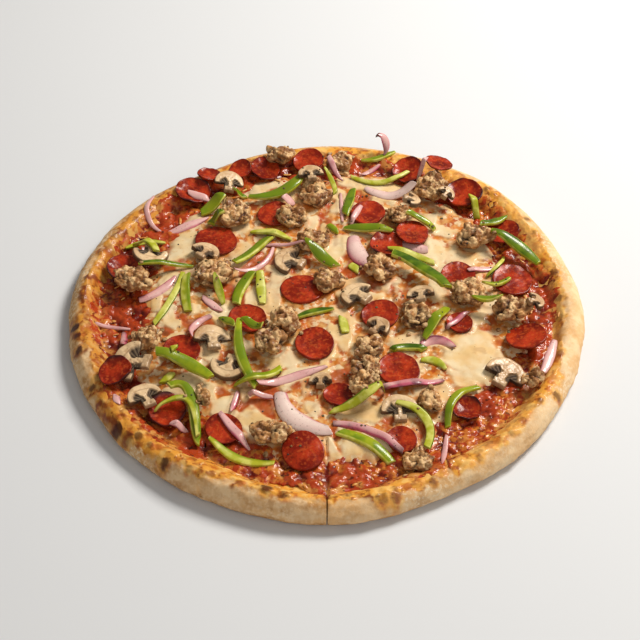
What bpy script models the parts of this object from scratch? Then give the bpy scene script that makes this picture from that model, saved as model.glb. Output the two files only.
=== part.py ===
"""A supreme pizza in metres, +Z up: an uneven raised crust with knife cuts at its front edge, a sauce
layer, a cheese layer, and the toppings, each laid on whatever is already under it."""

import math

import bmesh
import bpy
import numpy as np
from mathutils import Matrix, Vector, noise

MM = 0.001

# Driving sizes, in millimetres
RADIUS = 178.0
RIM_HEIGHT = 17.0
RIM_INNER_RADIUS = 151.0
DOUGH_THICKNESS = 6.0
SAUCE_THICKNESS = 1.3
CHEESE_THICKNESS = 2.6
CHEESE_RADIUS = 139.0
GAP = 0.35
CUT_WIDTH = 1.6

# How fine the round pieces are
CRUST_STEPS = 72
CHEESE_STEPS = 60
DISC_STEPS = 14
SLICE_STEPS = 18

# Levels of the layers, in millimetres above the surface that the pizza rests on
SAUCE_LOW = DOUGH_THICKNESS + GAP
SAUCE_HIGH = SAUCE_LOW + SAUCE_THICKNESS
CHEESE_LOW = SAUCE_HIGH + GAP
CHEESE_HIGH = CHEESE_LOW + CHEESE_THICKNESS

# Lumps of the crust's outline, rim height, rim's inner edge and the cheese's edge:
# direction in degrees, half width in degrees, millimetres outwards or upwards
OUTLINE_LUMPS = [
    (0, 10, 1.3), (50, 17, 2.2), (123, 16, -6.0), (172, 10, 1.6), (208, 9, -0.8),
    (-92, 14, 2.2), (-62, 12, -2.8), (-30, 17, -1.2),
]
RIM_LUMPS = [
    (-20, 14, 1.4), (-75, 12, -1.2), (-105, 14, 1.2), (-140, 12, -1.0), (165, 16, 0.6), (98, 36, -5.5),
    (55, 14, -1.5), (-48, 9, 1.0),
]
INNER_LUMPS = [
    (-90, 12, 3.0), (-118, 8, -2.0), (-45, 14, 1.0), (-12, 10, 3.0), (20, 10, -1.0), (60, 18, -4.0),
    (172, 26, 3.5), (205, 12, -1.5), (-70, 8, -2.0), (110, 22, 2.5),
]
CHEESE_LUMPS = [
    (180, 26, -9.0), (-122, 18, -8.0), (-90, 14, -3.0), (-45, 17, -12.0), (12, 16, -6.0), (75, 34, 7.0),
    (205, 9, 4.0), (-70, 8, 4.0), (-15, 8, 5.0), (150, 12, -3.0),
]

# Knife cuts, all running front to back: x, y where the blade stopped, y where it left the pizza,
# and the lowest level it reached, in millimetres
CUTS = [
    (0.0, -116.0, -190.0, -2.0),
    (-78.0, -116.0, -144.0, 4.5),
    (-79.0, -156.0, -186.0, 10.0),
    (75.0, -110.0, -146.0, 4.5),
]

# The toppings were read off the photo on a flat millimetre grid. These turn a reading into its place.
GRID_X = 1.005
GRID_Y = 1.032
GRID_SHIFT = 6.3

# Pepperoni: x, y, diameter, height of its curled-up edge (below zero it is domed)
PEPPERONI = [
    (-99, 107, 25, 2.6), (-79, 57, 30, 0.8), (-142, 27, 26, 2.6), (-37, 85, 26, 1.0), (-46, 134, 23, 1.8),
    (-13, 143, 24, 1.4), (31, 86, 26, 0.8), (62, 131, 24, 2.2), (103, 105, 27, 2.8), (43, 52, 25, 2.0),
    (-17, 10, 29, -1.2), (37, -14, 27, 0.8), (-8, -41, 28, 1.0), (48, -64, 29, 1.0), (135, -39, 28, 1.2),
    (131, 20, 30, 0.8), (93, 23, 26, 1.0), (-54, -18, 26, 1.6), (-97, -47, 26, 2.0), (-15, -130, 28, -1.6),
    (-66, -112, 24, 1.0), (-103, -98, 26, 3.0), (128, 65, 24, 1.8), (62, 63, 25, 0.8),
    (-138, -72, 22, 3.0), (90, -95, 20, 3.0), (48, -121, 20, 1.0), (8, -85, 20, 1.0), (84, 124, 20, 1.4),
    (-64, 131, 18, 1.6), (-88, 121, 17, 1.4), (91, -22, 18, 1.4),
]

# Sausage: x, y, length, width, turn in degrees
SAUSAGE = [
    (-79, 21, 28, 24, 20), (-135, 14, 29, 22, -20), (79, 108, 27, 24, 0), (107, 57, 28, 21, 10),
    (37, 27, 22, 21, 0), (98, 3, 25, 23, 0), (61, -17, 27, 21, 80), (127, -15, 26, 22, 0),
    (-28, -26, 27, 24, 100), (-121, -39, 25, 22, 90), (-8, 106, 28, 22, 90), (-67, 81, 30, 22, 90),
    (-34, -119, 26, 17, -15),
    (-25, 80, 24, 21, 0), (-10, 58, 24, 21, 30), (28, -48, 22, 20, 60), (53, 80, 21, 18, 90),
    (1, 17, 23, 20, 60), (-37, -44, 20, 18, 0), (-35, 146, 20, 18, 0), (12, 141, 19, 17, 90),
    (28, -65, 20, 18, 0), (24, -81, 20, 17, 0), (67, -91, 19, 16, 90), (58, -138, 20, 17, 20),
    (135, -75, 15, 13, 0), (-82, -91, 18, 10, 90),
]

# Mushroom slices: x, y, width of the cap, direction in degrees that the cap's top faces
MUSHROOM = [
    (-128, -62, 32, 170), (-118, -90, 24, 120), (-77, -37, 27, 100), (-65, -61, 26, 250),
    (-25, 37, 27, 160), (22, 2, 26, 140), (47, -97, 25, 95), (118, -67, 29, 60), (-125, 39, 26, 270),
    (-72, 114, 23, 90), (-86, 42, 22, 60), (-11, 118, 20, 100), (65, -4, 20, 90), (35, -28, 18, 50),
    (-4, -74, 16, 90), (142, -13, 15, 20), (62, 90, 16, 0), (88, 97, 14, 60),
]

# Green pepper strips: the points that the strip's middle runs through, then its width
PEPPER = [
    ([(-59, -22), (-58, -50), (-46, -80)], 7), ([(-103, -82), (-96, -80), (-86, -98), (-81, -122)], 7),
    ([(118, 57), (135, 47), (150, 30)], 9), ([(47, 38), (67, 24), (83, 2)], 9),
    ([(-57, 100), (-34, 104), (-15, 126)], 9), ([(-113, -57), (-94, -62), (-76, -74)], 9),
    ([(8, -115), (25, -122), (41, -137)], 8),
    ([(-92, 88), (-84, 92), (-76, 98)], 10), ([(-68, 104), (-60, 106)], 6), ([(-84, 75), (-76, 78)], 7),
    ([(-144, 52), (-132, 59), (-116, 59)], 5), ([(-137, 55), (-128, 50), (-120, 39)], 6),
    ([(-131, 25), (-112, 30), (-94, 32)], 5), ([(-101, 26), (-107, 2), (-118, -22)], 5),
    ([(-98, 22), (-98, 5), (-95, -11)], 7), ([(-78, 14), (-71, -4)], 6), ([(-65, 31), (-40, 62)], 8),
    ([(-54, 67), (-40, 65), (-25, 59)], 7), ([(-62, -6), (-59, 12), (-51, 24)], 8), ([(-47, 25), (-44, -4)], 7),
    ([(-15, 48), (-5, 40), (7, 28)], 9), ([(20, 112), (17, 98), (14, 84)], 7), ([(13, 71), (30, 68), (48, 63)], 8),
    ([(59, 77), (69, 75), (79, 69)], 5), ([(2, 74), (9, 66)], 5), ([(-1, 123), (5, 114), (7, 103)], 4),
    ([(19, 127), (40, 119), (62, 129)], 4), ([(27, 145), (41, 146), (53, 153)], 5), ([(107, 101), (111, 84)], 5),
    ([(111, 66), (122, 71), (132, 77)], 6), ([(127, 45), (122, 31), (113, 23)], 3),
    ([(109, 8), (119, 12), (129, 20)], 4), ([(44, 46), (60, 42), (77, 35)], 6), ([(17, 34), (23, 28)], 6),
    ([(-20, -16), (-8, -11), (5, -9)], 7), ([(11, -17), (13, -31)], 7), ([(83, -8), (75, -22), (66, -37)], 8),
    ([(100, -7), (119, -10)], 6), ([(44, -47), (55, -44), (66, -46)], 6), ([(63, -55), (73, -56), (79, -63)], 6),
    ([(-56, -23), (-43, -35)], 6), ([(-72, -17), (-62, -30)], 6), ([(-103, -45), (-100, -57)], 6),
    ([(-108, -74), (-102, -66)], 6), ([(-75, -120), (-57, -134), (-33, -137)], 7),
    ([(-60, -76), (-45, -74), (-30, -62)], 6), ([(3, -98), (22, -95), (38, -83)], 7),
    ([(45, -94), (62, -103), (63, -131)], 6), ([(100, -77), (84, -88), (78, -109)], 6),
    ([(-111, -100), (-97, -92), (-82, -120)], 4),
]

# Red onion strips and petals: the points that the middle runs through, then the width
ONION = [
    ([(-30, -83), (-25, -99), (2, -113)], 14), ([(153, -43), (148, -58), (142, -72)], 7),
    ([(-130, 1), (-116, 9), (-106, 23)], 7), ([(20, 62), (23, 45), (32, 33)], 14),
    ([(-127, 102), (-131, 84), (-119, 70)], 4), ([(-115, 69), (-100, 75), (-86, 83)], 7),
    ([(-102, 104), (-93, 101), (-84, 99)], 6), ([(-64, 23), (-43, 37), (-38, 52)], 4),
    ([(-45, 54), (-28, 52), (-12, 47)], 3), ([(-31, 98), (-23, 96)], 7), ([(11, 108), (12, 78)], 3),
    ([(26, 92), (18, 74)], 5), ([(2, 146), (5, 133), (13, 122)], 5), ([(27, 131), (41, 141)], 5),
    ([(30, 114), (47, 106), (65, 110)], 9), ([(68, 118), (76, 127)], 4), ([(50, 57), (73, 49)], 11),
    ([(100, 27), (120, 32)], 5), ([(-86, 3), (-72, -11)], 6), ([(-79, -15), (-90, -25), (-90, -40)], 5),
    ([(-138, -27), (-136, -48)], 5), ([(-158, -21), (-134, -24)], 3), ([(-58, -82), (-62, -100)], 4),
    ([(-45, -79), (-22, -70), (0, -60)], 6), ([(-51, -85), (-35, -87)], 4), ([(-69, -101), (-49, -127)], 6),
    ([(-100, -110), (-89, -113)], 5), ([(-137, -88), (-135, -96)], 5), ([(64, -42), (75, -37), (86, -44)], 7),
    ([(82, -27), (99, -11)], 4), ([(37, -79), (57, -76), (77, -72)], 7),
    ([(4, -108), (24, -112), (48, -133)], 6), ([(77, -115), (72, -143)], 4),
]

# Onion ring end that stands up at the back edge: the same points, and how far each has risen
ONION_CURL = [(44, 147), (46, 152), (44, 155), (38, 154)]
ONION_CURL_RISE = [0.0, 6.0, 12.0, 14.5]
ONION_CURL_WIDTH = 6.5

# How many of each list, counted from its start, are pieces of their own
SEPARATE = {"pepperoni": 24, "sausage": 13, "mushroom": 9, "pepper": 6, "onion": 4}

# Thicknesses and heights of the toppings, in millimetres
PEPPERONI_THICKNESS = 1.9
SAUSAGE_HEIGHT_SHARE = 0.42
MUSHROOM_THICKNESS = 4.0
PEPPER_THICKNESS = 3.0
ONION_THICKNESS = 1.9
SUNK = 1.1
SHORTEST_STRIP = 9.0

COLOURS = {
    "crust": (0.78, 0.60, 0.38, 0.75),
    "sauce": (0.45, 0.05, 0.02, 0.30),
    "cheese": (0.86, 0.72, 0.46, 0.35),
    "pepperoni": (0.42, 0.04, 0.02, 0.30),
    "sausage": (0.36, 0.20, 0.10, 0.55),
    "mushroom": (0.55, 0.42, 0.28, 0.50),
    "pepper": (0.20, 0.30, 0.03, 0.28),
    "onion": (0.72, 0.42, 0.45, 0.30),
}


# Scene, collections and materials


def cleared_scene():
    """Removes what the scene holds."""
    for obj in list(bpy.data.objects):
        bpy.data.objects.remove(obj, do_unlink=True)


def collection(name, helper=False):
    """A collection under the scene. A helper's objects are never rendered."""
    made = bpy.data.collections.new(name)
    made.hide_render = helper
    bpy.context.scene.collection.children.link(made)
    return made


def material(kind):
    """A plain Principled material with the kind's colour and roughness."""
    red, green, blue, roughness = COLOURS[kind]
    made = bpy.data.materials.new(kind)
    made.use_nodes = True
    shader = made.node_tree.nodes["Principled BSDF"]
    shader.inputs["Base Color"].default_value = (red, green, blue, 1.0)
    shader.inputs["Roughness"].default_value = roughness
    shader.inputs["Metallic"].default_value = 0.0
    return made


def placed(name, mesh, home, look=None):
    """A new object for the mesh, in the collection, with its material."""
    obj = bpy.data.objects.new(name, mesh)
    home.objects.link(obj)
    if look is not None:
        obj.data.materials.clear()
        obj.data.materials.append(look)
        obj.data.shade_smooth()
        obj.data.set_sharp_from_angle(angle=math.radians(50))
    return obj


def evaluated_copy(obj):
    """A mesh of the object with its modifiers applied."""
    bpy.context.view_layer.update()
    graph = bpy.context.evaluated_depsgraph_get()
    return bpy.data.meshes.new_from_object(obj.evaluated_get(graph))


def points_of(mesh):
    """The mesh's points as an array of rows x, y, z."""
    flat = np.empty(len(mesh.vertices) * 3)
    mesh.vertices.foreach_get("co", flat)
    return flat.reshape(-1, 3)


def reshaped(mesh, points):
    """The mesh with its points moved."""
    mesh.vertices.foreach_set("co", np.asarray(points, dtype=float).reshape(-1))
    mesh.update()
    return mesh


def turned(name, profile, steps):
    """A closed solid turned about Z from a profile in millimetres, top to bottom."""
    mesh = bpy.data.meshes.new(name)
    edges = [(i, i + 1) for i in range(len(profile) - 1)]
    mesh.from_pydata([(r * MM, 0.0, z * MM) for r, z in profile], edges, [])
    obj = bpy.data.objects.new(name, mesh)
    bpy.context.scene.collection.objects.link(obj)
    screw = obj.modifiers.new("turn", "SCREW")
    screw.steps = steps
    screw.render_steps = steps
    screw.use_merge_vertices = True
    screw.merge_threshold = 0.0001
    solid = evaluated_copy(obj)
    bpy.data.objects.remove(obj)
    bpy.data.meshes.remove(mesh)
    solid.name = name
    return solid


# Uneven edges


def lumps(theta, table):
    """Sum of round bumps about the centre: each is highest at its own direction and fades both ways."""
    total = np.zeros_like(theta)
    for direction, width, amount in table:
        away = (np.degrees(theta) - direction + 180.0) % 360.0 - 180.0
        total = total + amount * np.exp(-((away / width) ** 2))
    return total


def outline_scale(theta):
    """Share by which the outline lies outside or inside the plain circle."""
    return 1.0 + lumps(theta, OUTLINE_LUMPS) / RADIUS


def rim_inner(theta):
    """Radius in millimetres where the rim starts to rise from the flat dough."""
    return (RIM_INNER_RADIUS + lumps(theta, INNER_LUMPS)) * outline_scale(theta)


def cheese_edge(theta):
    """Radius in millimetres of the cheese's melted edge, always a little inside the rim."""
    wanted = CHEESE_RADIUS + lumps(theta, CHEESE_LUMPS) + 1.6 * np.sin(11 * theta + 0.6)
    return np.minimum(wanted, rim_inner(theta) - 2.5)


def cheese_top(x, y):
    """Level in millimetres of the melted cheese: shallow lumps a few centimetres across."""
    spots = zip(np.ravel(x), np.ravel(y))
    bumps = [noise.noise(Vector((u * 0.035, v * 0.035, 3.1))) for u, v in spots]
    return CHEESE_HIGH + 0.9 * np.reshape(bumps, np.shape(x))


# Layers


def crust(home):
    """The dough: flat underneath, a thin middle and a rounded rim, uneven all round."""
    flat = DOUGH_THICKNESS
    inner = RIM_INNER_RADIUS
    profile = [
        (0, flat), (60, flat), (115, flat), (inner - 3.5, flat), (inner, flat), (inner + 3.0, flat + 1.6),
        (inner + 6.5, flat + 5.4), (inner + 10.5, flat + 9.2), (inner + 15.0, RIM_HEIGHT),
        (RADIUS - 6.5, RIM_HEIGHT - 1.2), (RADIUS - 2.2, RIM_HEIGHT - 5.0), (RADIUS, 6.8),
        (RADIUS - 1.2, 2.6), (RADIUS - 4.0, 0.5), (RADIUS - 6.5, 0), (90, 0), (0, 0),
    ]
    mesh = turned("crust", profile, CRUST_STEPS)
    points = points_of(mesh) / MM
    theta = np.arctan2(points[:, 1], points[:, 0])
    radius = np.hypot(points[:, 0], points[:, 1])
    level = points[:, 2]
    at_inner_edge = np.exp(-(((radius - inner - 3.0) / 7.0) ** 2)) * (level > 5.0)
    radius = (radius + lumps(theta, INNER_LUMPS) * at_inner_edge) * outline_scale(theta)
    ripple = 0.5 * np.sin(9 * theta + 1.0) + 0.4 * np.sin(17 * theta)
    raised = np.clip((level - flat) / (RIM_HEIGHT - flat), 0.0, 1.0)
    level = level + raised * (lumps(theta, RIM_LUMPS) + ripple)
    moved = np.stack([radius * np.cos(theta), radius * np.sin(theta), level], axis=1)
    return placed("crust", reshaped(mesh, moved * MM), home, material("crust"))


def sauce(home):
    """A thin even spread that reaches the foot of the rim."""
    profile = [(0, SAUCE_HIGH), (80, SAUCE_HIGH), (100, SAUCE_HIGH), (100, SAUCE_LOW), (0, SAUCE_LOW)]
    mesh = turned("sauce", profile, CRUST_STEPS)
    points = points_of(mesh) / MM
    theta = np.arctan2(points[:, 1], points[:, 0])
    share = np.hypot(points[:, 0], points[:, 1]) / 100.0
    reach = rim_inner(theta) - 0.9 + 0.4 * np.sin(13 * theta)
    moved = np.stack([share * reach * np.cos(theta), share * reach * np.sin(theta), points[:, 2]], axis=1)
    return placed("sauce", reshaped(mesh, moved * MM), home, material("sauce"))


def cheese(home):
    """Melted cheese: flat underneath, lumpy on top, with a lobed edge that thins out."""
    rings = [0.0, 0.14, 0.28, 0.41, 0.53, 0.64, 0.74, 0.83, 0.91, 0.965, 1.0]
    profile = [(100 * share, CHEESE_HIGH) for share in rings]
    profile += [(100, CHEESE_LOW), (55, CHEESE_LOW), (0, CHEESE_LOW)]
    mesh = turned("cheese", profile, CHEESE_STEPS)
    points = points_of(mesh) / MM
    theta = np.arctan2(points[:, 1], points[:, 0])
    share = np.hypot(points[:, 0], points[:, 1]) / 100.0
    x = share * cheese_edge(theta) * np.cos(theta)
    y = share * cheese_edge(theta) * np.sin(theta)
    on_top = points[:, 2] > (CHEESE_LOW + CHEESE_HIGH) / 2
    thinned = CHEESE_LOW + (cheese_top(x, y) - CHEESE_LOW) * (1.0 - 0.62 * np.clip(share, 0, 1) ** 12)
    level = np.where(on_top, thinned, points[:, 2])
    moved = np.stack([x, y, level], axis=1)
    return placed("cheese", reshaped(mesh, moved * MM), home, material("cheese"))


def knife_cuts(home, layers):
    """Thin slots where the knife went through, cut from each layer that the blade reached."""
    for number, (x, inner_y, outer_y, low) in enumerate(CUTS, start=1):
        bpy.ops.mesh.primitive_cube_add(size=1.0)
        blade = bpy.context.object
        blade.name = f"knife_{number}"
        high = 60.0
        middle = Vector((x, (inner_y + outer_y) / 2, (low + high) / 2)) * MM
        size = Vector((CUT_WIDTH, abs(inner_y - outer_y), high - low)) * MM
        blade.data.transform(Matrix.Translation(middle) @ Matrix.Diagonal((*size, 1.0)))
        for owner in list(blade.users_collection):
            owner.objects.unlink(blade)
        home.objects.link(blade)
        blade.hide_render = True
        blade.display_type = "WIRE"
        for layer in layers:
            cut = layer.modifiers.new(blade.name, "BOOLEAN")
            cut.operation = "DIFFERENCE"
            cut.object = blade


# What lies where: one height for each millimetre of the pizza

HALF_GRID = 192


def cell(places):
    """Row or column of the height map for each place in millimetres."""
    return np.clip(np.rint(places).astype(int) + HALF_GRID, 1, 2 * HALF_GRID - 1)


class HeightMap:
    """The highest level reached so far over each square millimetre, in millimetres."""

    def __init__(self):
        self.level = np.zeros((2 * HALF_GRID + 1, 2 * HALF_GRID + 1))

    def add(self, obj):
        """Raises the map to the top of the object, triangle by triangle."""
        mesh = evaluated_copy(obj)
        mesh.calc_loop_triangles()
        corners = np.empty(len(mesh.loop_triangles) * 3, dtype=np.int32)
        mesh.loop_triangles.foreach_get("vertices", corners)
        matrix = np.array(obj.matrix_basis)
        world = (points_of(mesh) @ matrix[:3, :3].T + matrix[:3, 3]) / MM
        bpy.data.meshes.remove(mesh)
        for a, b, c in world[corners.reshape(-1, 3)]:
            self.add_triangle(a, b, c)

    def add_triangle(self, a, b, c):
        """Raises the cells under one triangle to its plane, or to its corners where it is steep."""
        for corner in (a, b, c):
            i, j = cell(corner[:2])
            self.level[i, j] = max(self.level[i, j], corner[2])
        area = (b[0] - a[0]) * (c[1] - a[1]) - (b[1] - a[1]) * (c[0] - a[0])
        if abs(area) < 1e-6:
            return
        low = cell(np.minimum(np.minimum(a, b), c)[:2])
        high = cell(np.maximum(np.maximum(a, b), c)[:2])
        x, y = np.meshgrid(np.arange(low[0], high[0] + 1), np.arange(low[1], high[1] + 1), indexing="ij")
        px = x - HALF_GRID - a[0]
        py = y - HALF_GRID - a[1]
        u = (px * (c[1] - a[1]) - py * (c[0] - a[0])) / area
        v = (py * (b[0] - a[0]) - px * (b[1] - a[1])) / area
        inside = (u >= -0.02) & (v >= -0.02) & (u + v <= 1.02)
        z = a[2] + u * (b[2] - a[2]) + v * (c[2] - a[2])
        z = np.minimum(z, max(a[2], b[2], c[2]))
        block = self.level[low[0]:high[0] + 1, low[1]:high[1] + 1]
        block[inside] = np.maximum(block[inside], z[inside])

    def under(self, x, y):
        """Highest level within a millimetre and a half of each place."""
        i = cell(x)
        j = cell(y)
        shifts = [(di, dj) for di in (-1, 0, 1) for dj in (-1, 0, 1)]
        return np.max([self.level[i + di, j + dj] for di, dj in shifts], axis=0)


def spot(x, y):
    """Place on the pizza, in millimetres, of a point read off the flat grid."""
    return x * GRID_X, y * GRID_Y + GRID_SHIFT


# Round toppings: their plan is a reach for each direction about a middle


def pepperoni_reach(diameter, x):
    """Radius for each direction: a circle pulled slightly oval by baking."""
    return lambda turn: 0.5 * diameter * (1.0 + 0.05 * np.sin(2 * turn + x))


def sausage_reach(length, width, heading):
    """Radius for each direction: a lumpy oval, longest along its heading."""
    def reach(turn):
        along = turn - math.radians(heading)
        oval = 1.0 / np.sqrt((np.cos(along) / (0.5 * length)) ** 2 + (np.sin(along) / (0.5 * width)) ** 2)
        return oval * (1.0 + 0.07 * np.sin(5 * turn + length) + 0.05 * np.sin(3 * turn + width))
    return reach


def mushroom_reach(cap, heading):
    """Radius for each direction: half-round cap, undercut below its margins, and a blunt stem."""
    def reach(turn):
        up = np.cos(turn - math.radians(heading))
        side = np.abs(np.sin(turn - math.radians(heading)))
        dome = 0.5 * cap * (1.0 - 0.10 * np.clip(up, 0, 1))
        stem = np.minimum(0.40 * cap / np.maximum(-up, 0.05), 0.17 * cap / np.maximum(side, 0.05))
        below = np.clip((-up - 0.18) / 0.22, 0.0, 1.0)
        return dome * (1 - below) + stem * below
    return reach


def plan_samples(x, y, reach, margin):
    """Places that fill a round topping's plan, with a margin outside it."""
    turn = np.linspace(0.0, 2 * math.pi, 48, endpoint=False)
    share = np.linspace(0.0, 1.0, 11)
    radius = share[:, None] * (reach(turn)[None, :] + margin)
    return x + (radius * np.cos(turn)).ravel(), y + (radius * np.sin(turn)).ravel()


def resting_plane(ground, x, y, reach, steepest):
    """Lowest plane that clears everything under the topping: slope along x, slope along y, level."""
    sx, sy = plan_samples(x, y, reach, 1.2)
    under = ground.under(sx, sy)
    best = None
    for slope_x in np.linspace(-steepest, steepest, 11):
        for slope_y in np.linspace(-steepest, steepest, 11):
            level = np.max(under - slope_x * (sx - x) - slope_y * (sy - y))
            cost = level + 1.5 * math.hypot(slope_x, slope_y)
            if best is None or cost < best[0]:
                best = (cost, slope_x, slope_y, level + GAP)
    return best[1:]


def stand(obj, x, y, plane):
    """Puts an object on its resting plane by its location and rotation."""
    slope_x, slope_y, level = plane
    upright = Vector((-slope_x, -slope_y, 1.0)).normalized()
    obj.rotation_mode = "QUATERNION"
    obj.rotation_quaternion = Vector((0, 0, 1)).rotation_difference(upright)
    obj.location = Vector((x, y, level)) * MM
    bpy.context.view_layer.update()


def pepperoni_mesh(diameter, cup, x):
    """A thin round slice whose edge curls up, or whose middle domes where cup is below zero."""
    thick = PEPPERONI_THICKNESS
    radius = 0.5 * diameter
    edge = thick + max(cup, 0.0)
    middle = thick + max(-cup, 0.0)
    profile = [
        (0, middle), (0.68 * radius, thick + 0.25 * abs(cup)), (radius, edge),
        (0.93 * radius, max(cup, 0.0) * 0.25), (0.75 * radius, 0), (0, 0),
    ]
    mesh = turned("pepperoni", profile, DISC_STEPS)
    points = points_of(mesh)
    turn = np.arctan2(points[:, 1], points[:, 0])
    points[:, :2] *= (pepperoni_reach(diameter, x)(turn) / radius)[:, None]
    points[:, 2] *= 1.0 + 0.10 * np.sin(3 * turn + x) * (points[:, 2] > 0.5 * thick * MM)
    return reshaped(mesh, points)


def sausage_mesh(length, width, heading, seed):
    """A crumbled chunk: a ball drawn out to its plan, roughened, and flat where it rests."""
    solid = bmesh.new()
    bmesh.ops.create_icosphere(solid, subdivisions=2, radius=1.0)
    mesh = bpy.data.meshes.new("sausage")
    solid.to_mesh(mesh)
    solid.free()
    points = points_of(mesh)
    turn = np.arctan2(points[:, 1], points[:, 0])
    rough = np.array([noise.noise(Vector(p) * 1.7 + Vector((seed, 0, 0))) for p in points])
    reach = sausage_reach(length, width, heading)(turn)
    height = SAUSAGE_HEIGHT_SHARE * width
    points[:, :2] *= (reach * (0.96 - 0.10 * np.abs(rough)))[:, None]
    points[:, 2] = height * (np.maximum(points[:, 2], -0.55) + 0.55) / 1.55 * (1.0 + 0.22 * rough)
    return reshaped(mesh, points * MM)


def mushroom_mesh(cap, heading):
    """A slice through cap and stem: its outline drawn round a flat disc, then raised."""
    solid = bmesh.new()
    bmesh.ops.create_circle(solid, cap_ends=True, segments=SLICE_STEPS, radius=1.0)
    reach = mushroom_reach(cap, heading)
    for corner in solid.verts:
        turn = math.atan2(corner.co.y, corner.co.x)
        corner.co = Vector((math.cos(turn), math.sin(turn), 0.0)) * float(reach(turn)) * MM
    raised = bmesh.ops.extrude_face_region(solid, geom=list(solid.faces))["geom"]
    for corner in [part for part in raised if isinstance(part, bmesh.types.BMVert)]:
        corner.co = Vector((corner.co.x * 0.9, corner.co.y * 0.9, MUSHROOM_THICKNESS * MM))
    bmesh.ops.recalc_face_normals(solid, faces=list(solid.faces))
    mesh = bpy.data.meshes.new("mushroom")
    solid.to_mesh(mesh)
    solid.free()
    return mesh


# Strips: a path through a few points, with a flat or arched band laid along it


def path_through(points, count):
    """Places along the curve through two to four points, by their distance along it, in millimetres."""
    places = np.array([spot(x, y) for x, y in points], dtype=float)
    steps = np.hypot(*np.diff(places, axis=0).T)
    travel = np.concatenate([[0.0], np.cumsum(steps)]) / steps.sum()
    along = np.linspace(0.0, 1.0, count)
    bends = [np.polyval(np.polyfit(travel, places[:, k], len(points) - 1), along) for k in (0, 1)]
    return np.stack(bends, axis=1)


def side_of(path):
    """Unit direction to the left of the path at each of its places."""
    ahead = np.gradient(path, axis=0)
    ahead /= np.hypot(ahead[:, 0], ahead[:, 1])[:, None]
    return np.stack([-ahead[:, 1], ahead[:, 0]], axis=1)


def strip_samples(path, width, margin):
    """Places that fill each stretch of the strip: an array for x and one for y, a row for a stretch."""
    side = side_of(path)
    across = np.linspace(-1.0, 1.0, 9) * (0.5 * width + margin)
    along = np.linspace(-0.12, 1.12, 8)
    starts = path[:-1, None, None, :]
    ends = path[1:, None, None, :]
    sides = 0.5 * (side[:-1] + side[1:])[:, None, None, :]
    places = starts + (ends - starts) * along[None, :, None, None] + sides * across[None, None, :, None]
    flat = places.reshape(len(path) - 1, -1, 2)
    return flat[:, :, 0], flat[:, :, 1]


def strip_levels(ground, path, width):
    """Level of the strip's underside at each place: clear of all under it, and never sharply bent."""
    x, y = strip_samples(path, width, 0.8)
    stretch = ground.under(x, y).max(axis=1) + GAP
    level = np.maximum(np.append(stretch, stretch[-1]), np.insert(stretch, 0, stretch[0]))
    for _ in range(8):
        level[1:-1] = np.maximum(level[1:-1], 0.5 * (level[:-2] + level[2:]) - 0.35)
    return level


def strip_object(name, path, level, width, thickness, arch, home, look):
    """A band along the path with rounded-in ends, raised along its middle, thickened upwards."""
    count = len(path)
    side = side_of(path)
    taper = np.ones(count)
    taper[[0, -1]] = 0.6
    rows = []
    for across, rise in ((-0.5, 0.0), (0.0, arch), (0.5, 0.0)):
        edge = path + side * (across * width * taper)[:, None]
        rows.append(np.column_stack([edge, level + rise]))
    points = np.stack(rows, axis=1).reshape(-1, 3)
    band = bmesh.new()
    bmesh.ops.create_grid(band, x_segments=count - 1, y_segments=2, size=1.0)
    order = sorted(band.verts, key=lambda corner: (round(corner.co.x, 4), round(corner.co.y, 4)))
    for corner, place in zip(order, points):
        corner.co = Vector(place) * MM
    mesh = bpy.data.meshes.new(name)
    band.to_mesh(mesh)
    band.free()
    obj = placed(name, mesh, home, look)
    shell = obj.modifiers.new("thickness", "SOLIDIFY")
    shell.thickness = thickness * MM
    shell.offset = 1.0
    return obj


# Fused pieces are clear in plan of every separate topping


def plans(kind, entry):
    """Places that fill the plan of one entry of a topping list."""
    if kind in ("pepper", "onion"):
        points, width = entry
        x, y = strip_samples(path_through(points, 6), width, 1.0)
        return x.ravel(), y.ravel()
    x, y = spot(entry[0], entry[1])
    return plan_samples(x, y, reach_of(kind, entry), 1.0)


def reach_of(kind, entry):
    """The plan of a round topping, as a radius for each direction."""
    if kind == "pepperoni":
        return pepperoni_reach(entry[2], entry[0])
    if kind == "sausage":
        return sausage_reach(*entry[2:])
    return mushroom_reach(*entry[2:])


def round_mesh(kind, entry):
    """The mesh of a round topping about its own middle."""
    if kind == "pepperoni":
        return pepperoni_mesh(entry[2], entry[3], entry[0])
    if kind == "sausage":
        return sausage_mesh(*entry[2:], seed=entry[0])
    return mushroom_mesh(*entry[2:])


LISTS = {"onion": ONION, "pepperoni": PEPPERONI, "sausage": SAUSAGE, "mushroom": MUSHROOM, "pepper": PEPPER}
STRIP_THICKNESS = {"pepper": PEPPER_THICKNESS, "onion": ONION_THICKNESS}
STRIP_ARCH = {"pepper": 0.10, "onion": 0.12}
STEEPEST = {"pepperoni": 0.26, "sausage": 0.12, "mushroom": 0.16}


def marked_plans():
    """A map of the square millimetres that the separate toppings cover."""
    taken = np.zeros((2 * HALF_GRID + 1, 2 * HALF_GRID + 1), dtype=bool)
    for kind, entries in LISTS.items():
        for entry in entries[:SEPARATE[kind]]:
            x, y = plans(kind, entry)
            for shift in (-1, 0, 1):
                taken[cell(x) + shift, cell(y)] = True
                taken[cell(x), cell(y) + shift] = True
    return taken


def clear_places(taken, x, y):
    """Whether each place is on the cheese and off every separate topping."""
    inside = np.hypot(x, y) < cheese_edge(np.arctan2(y, x)) - 1.0
    return inside & ~taken[cell(x), cell(y)]


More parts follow.
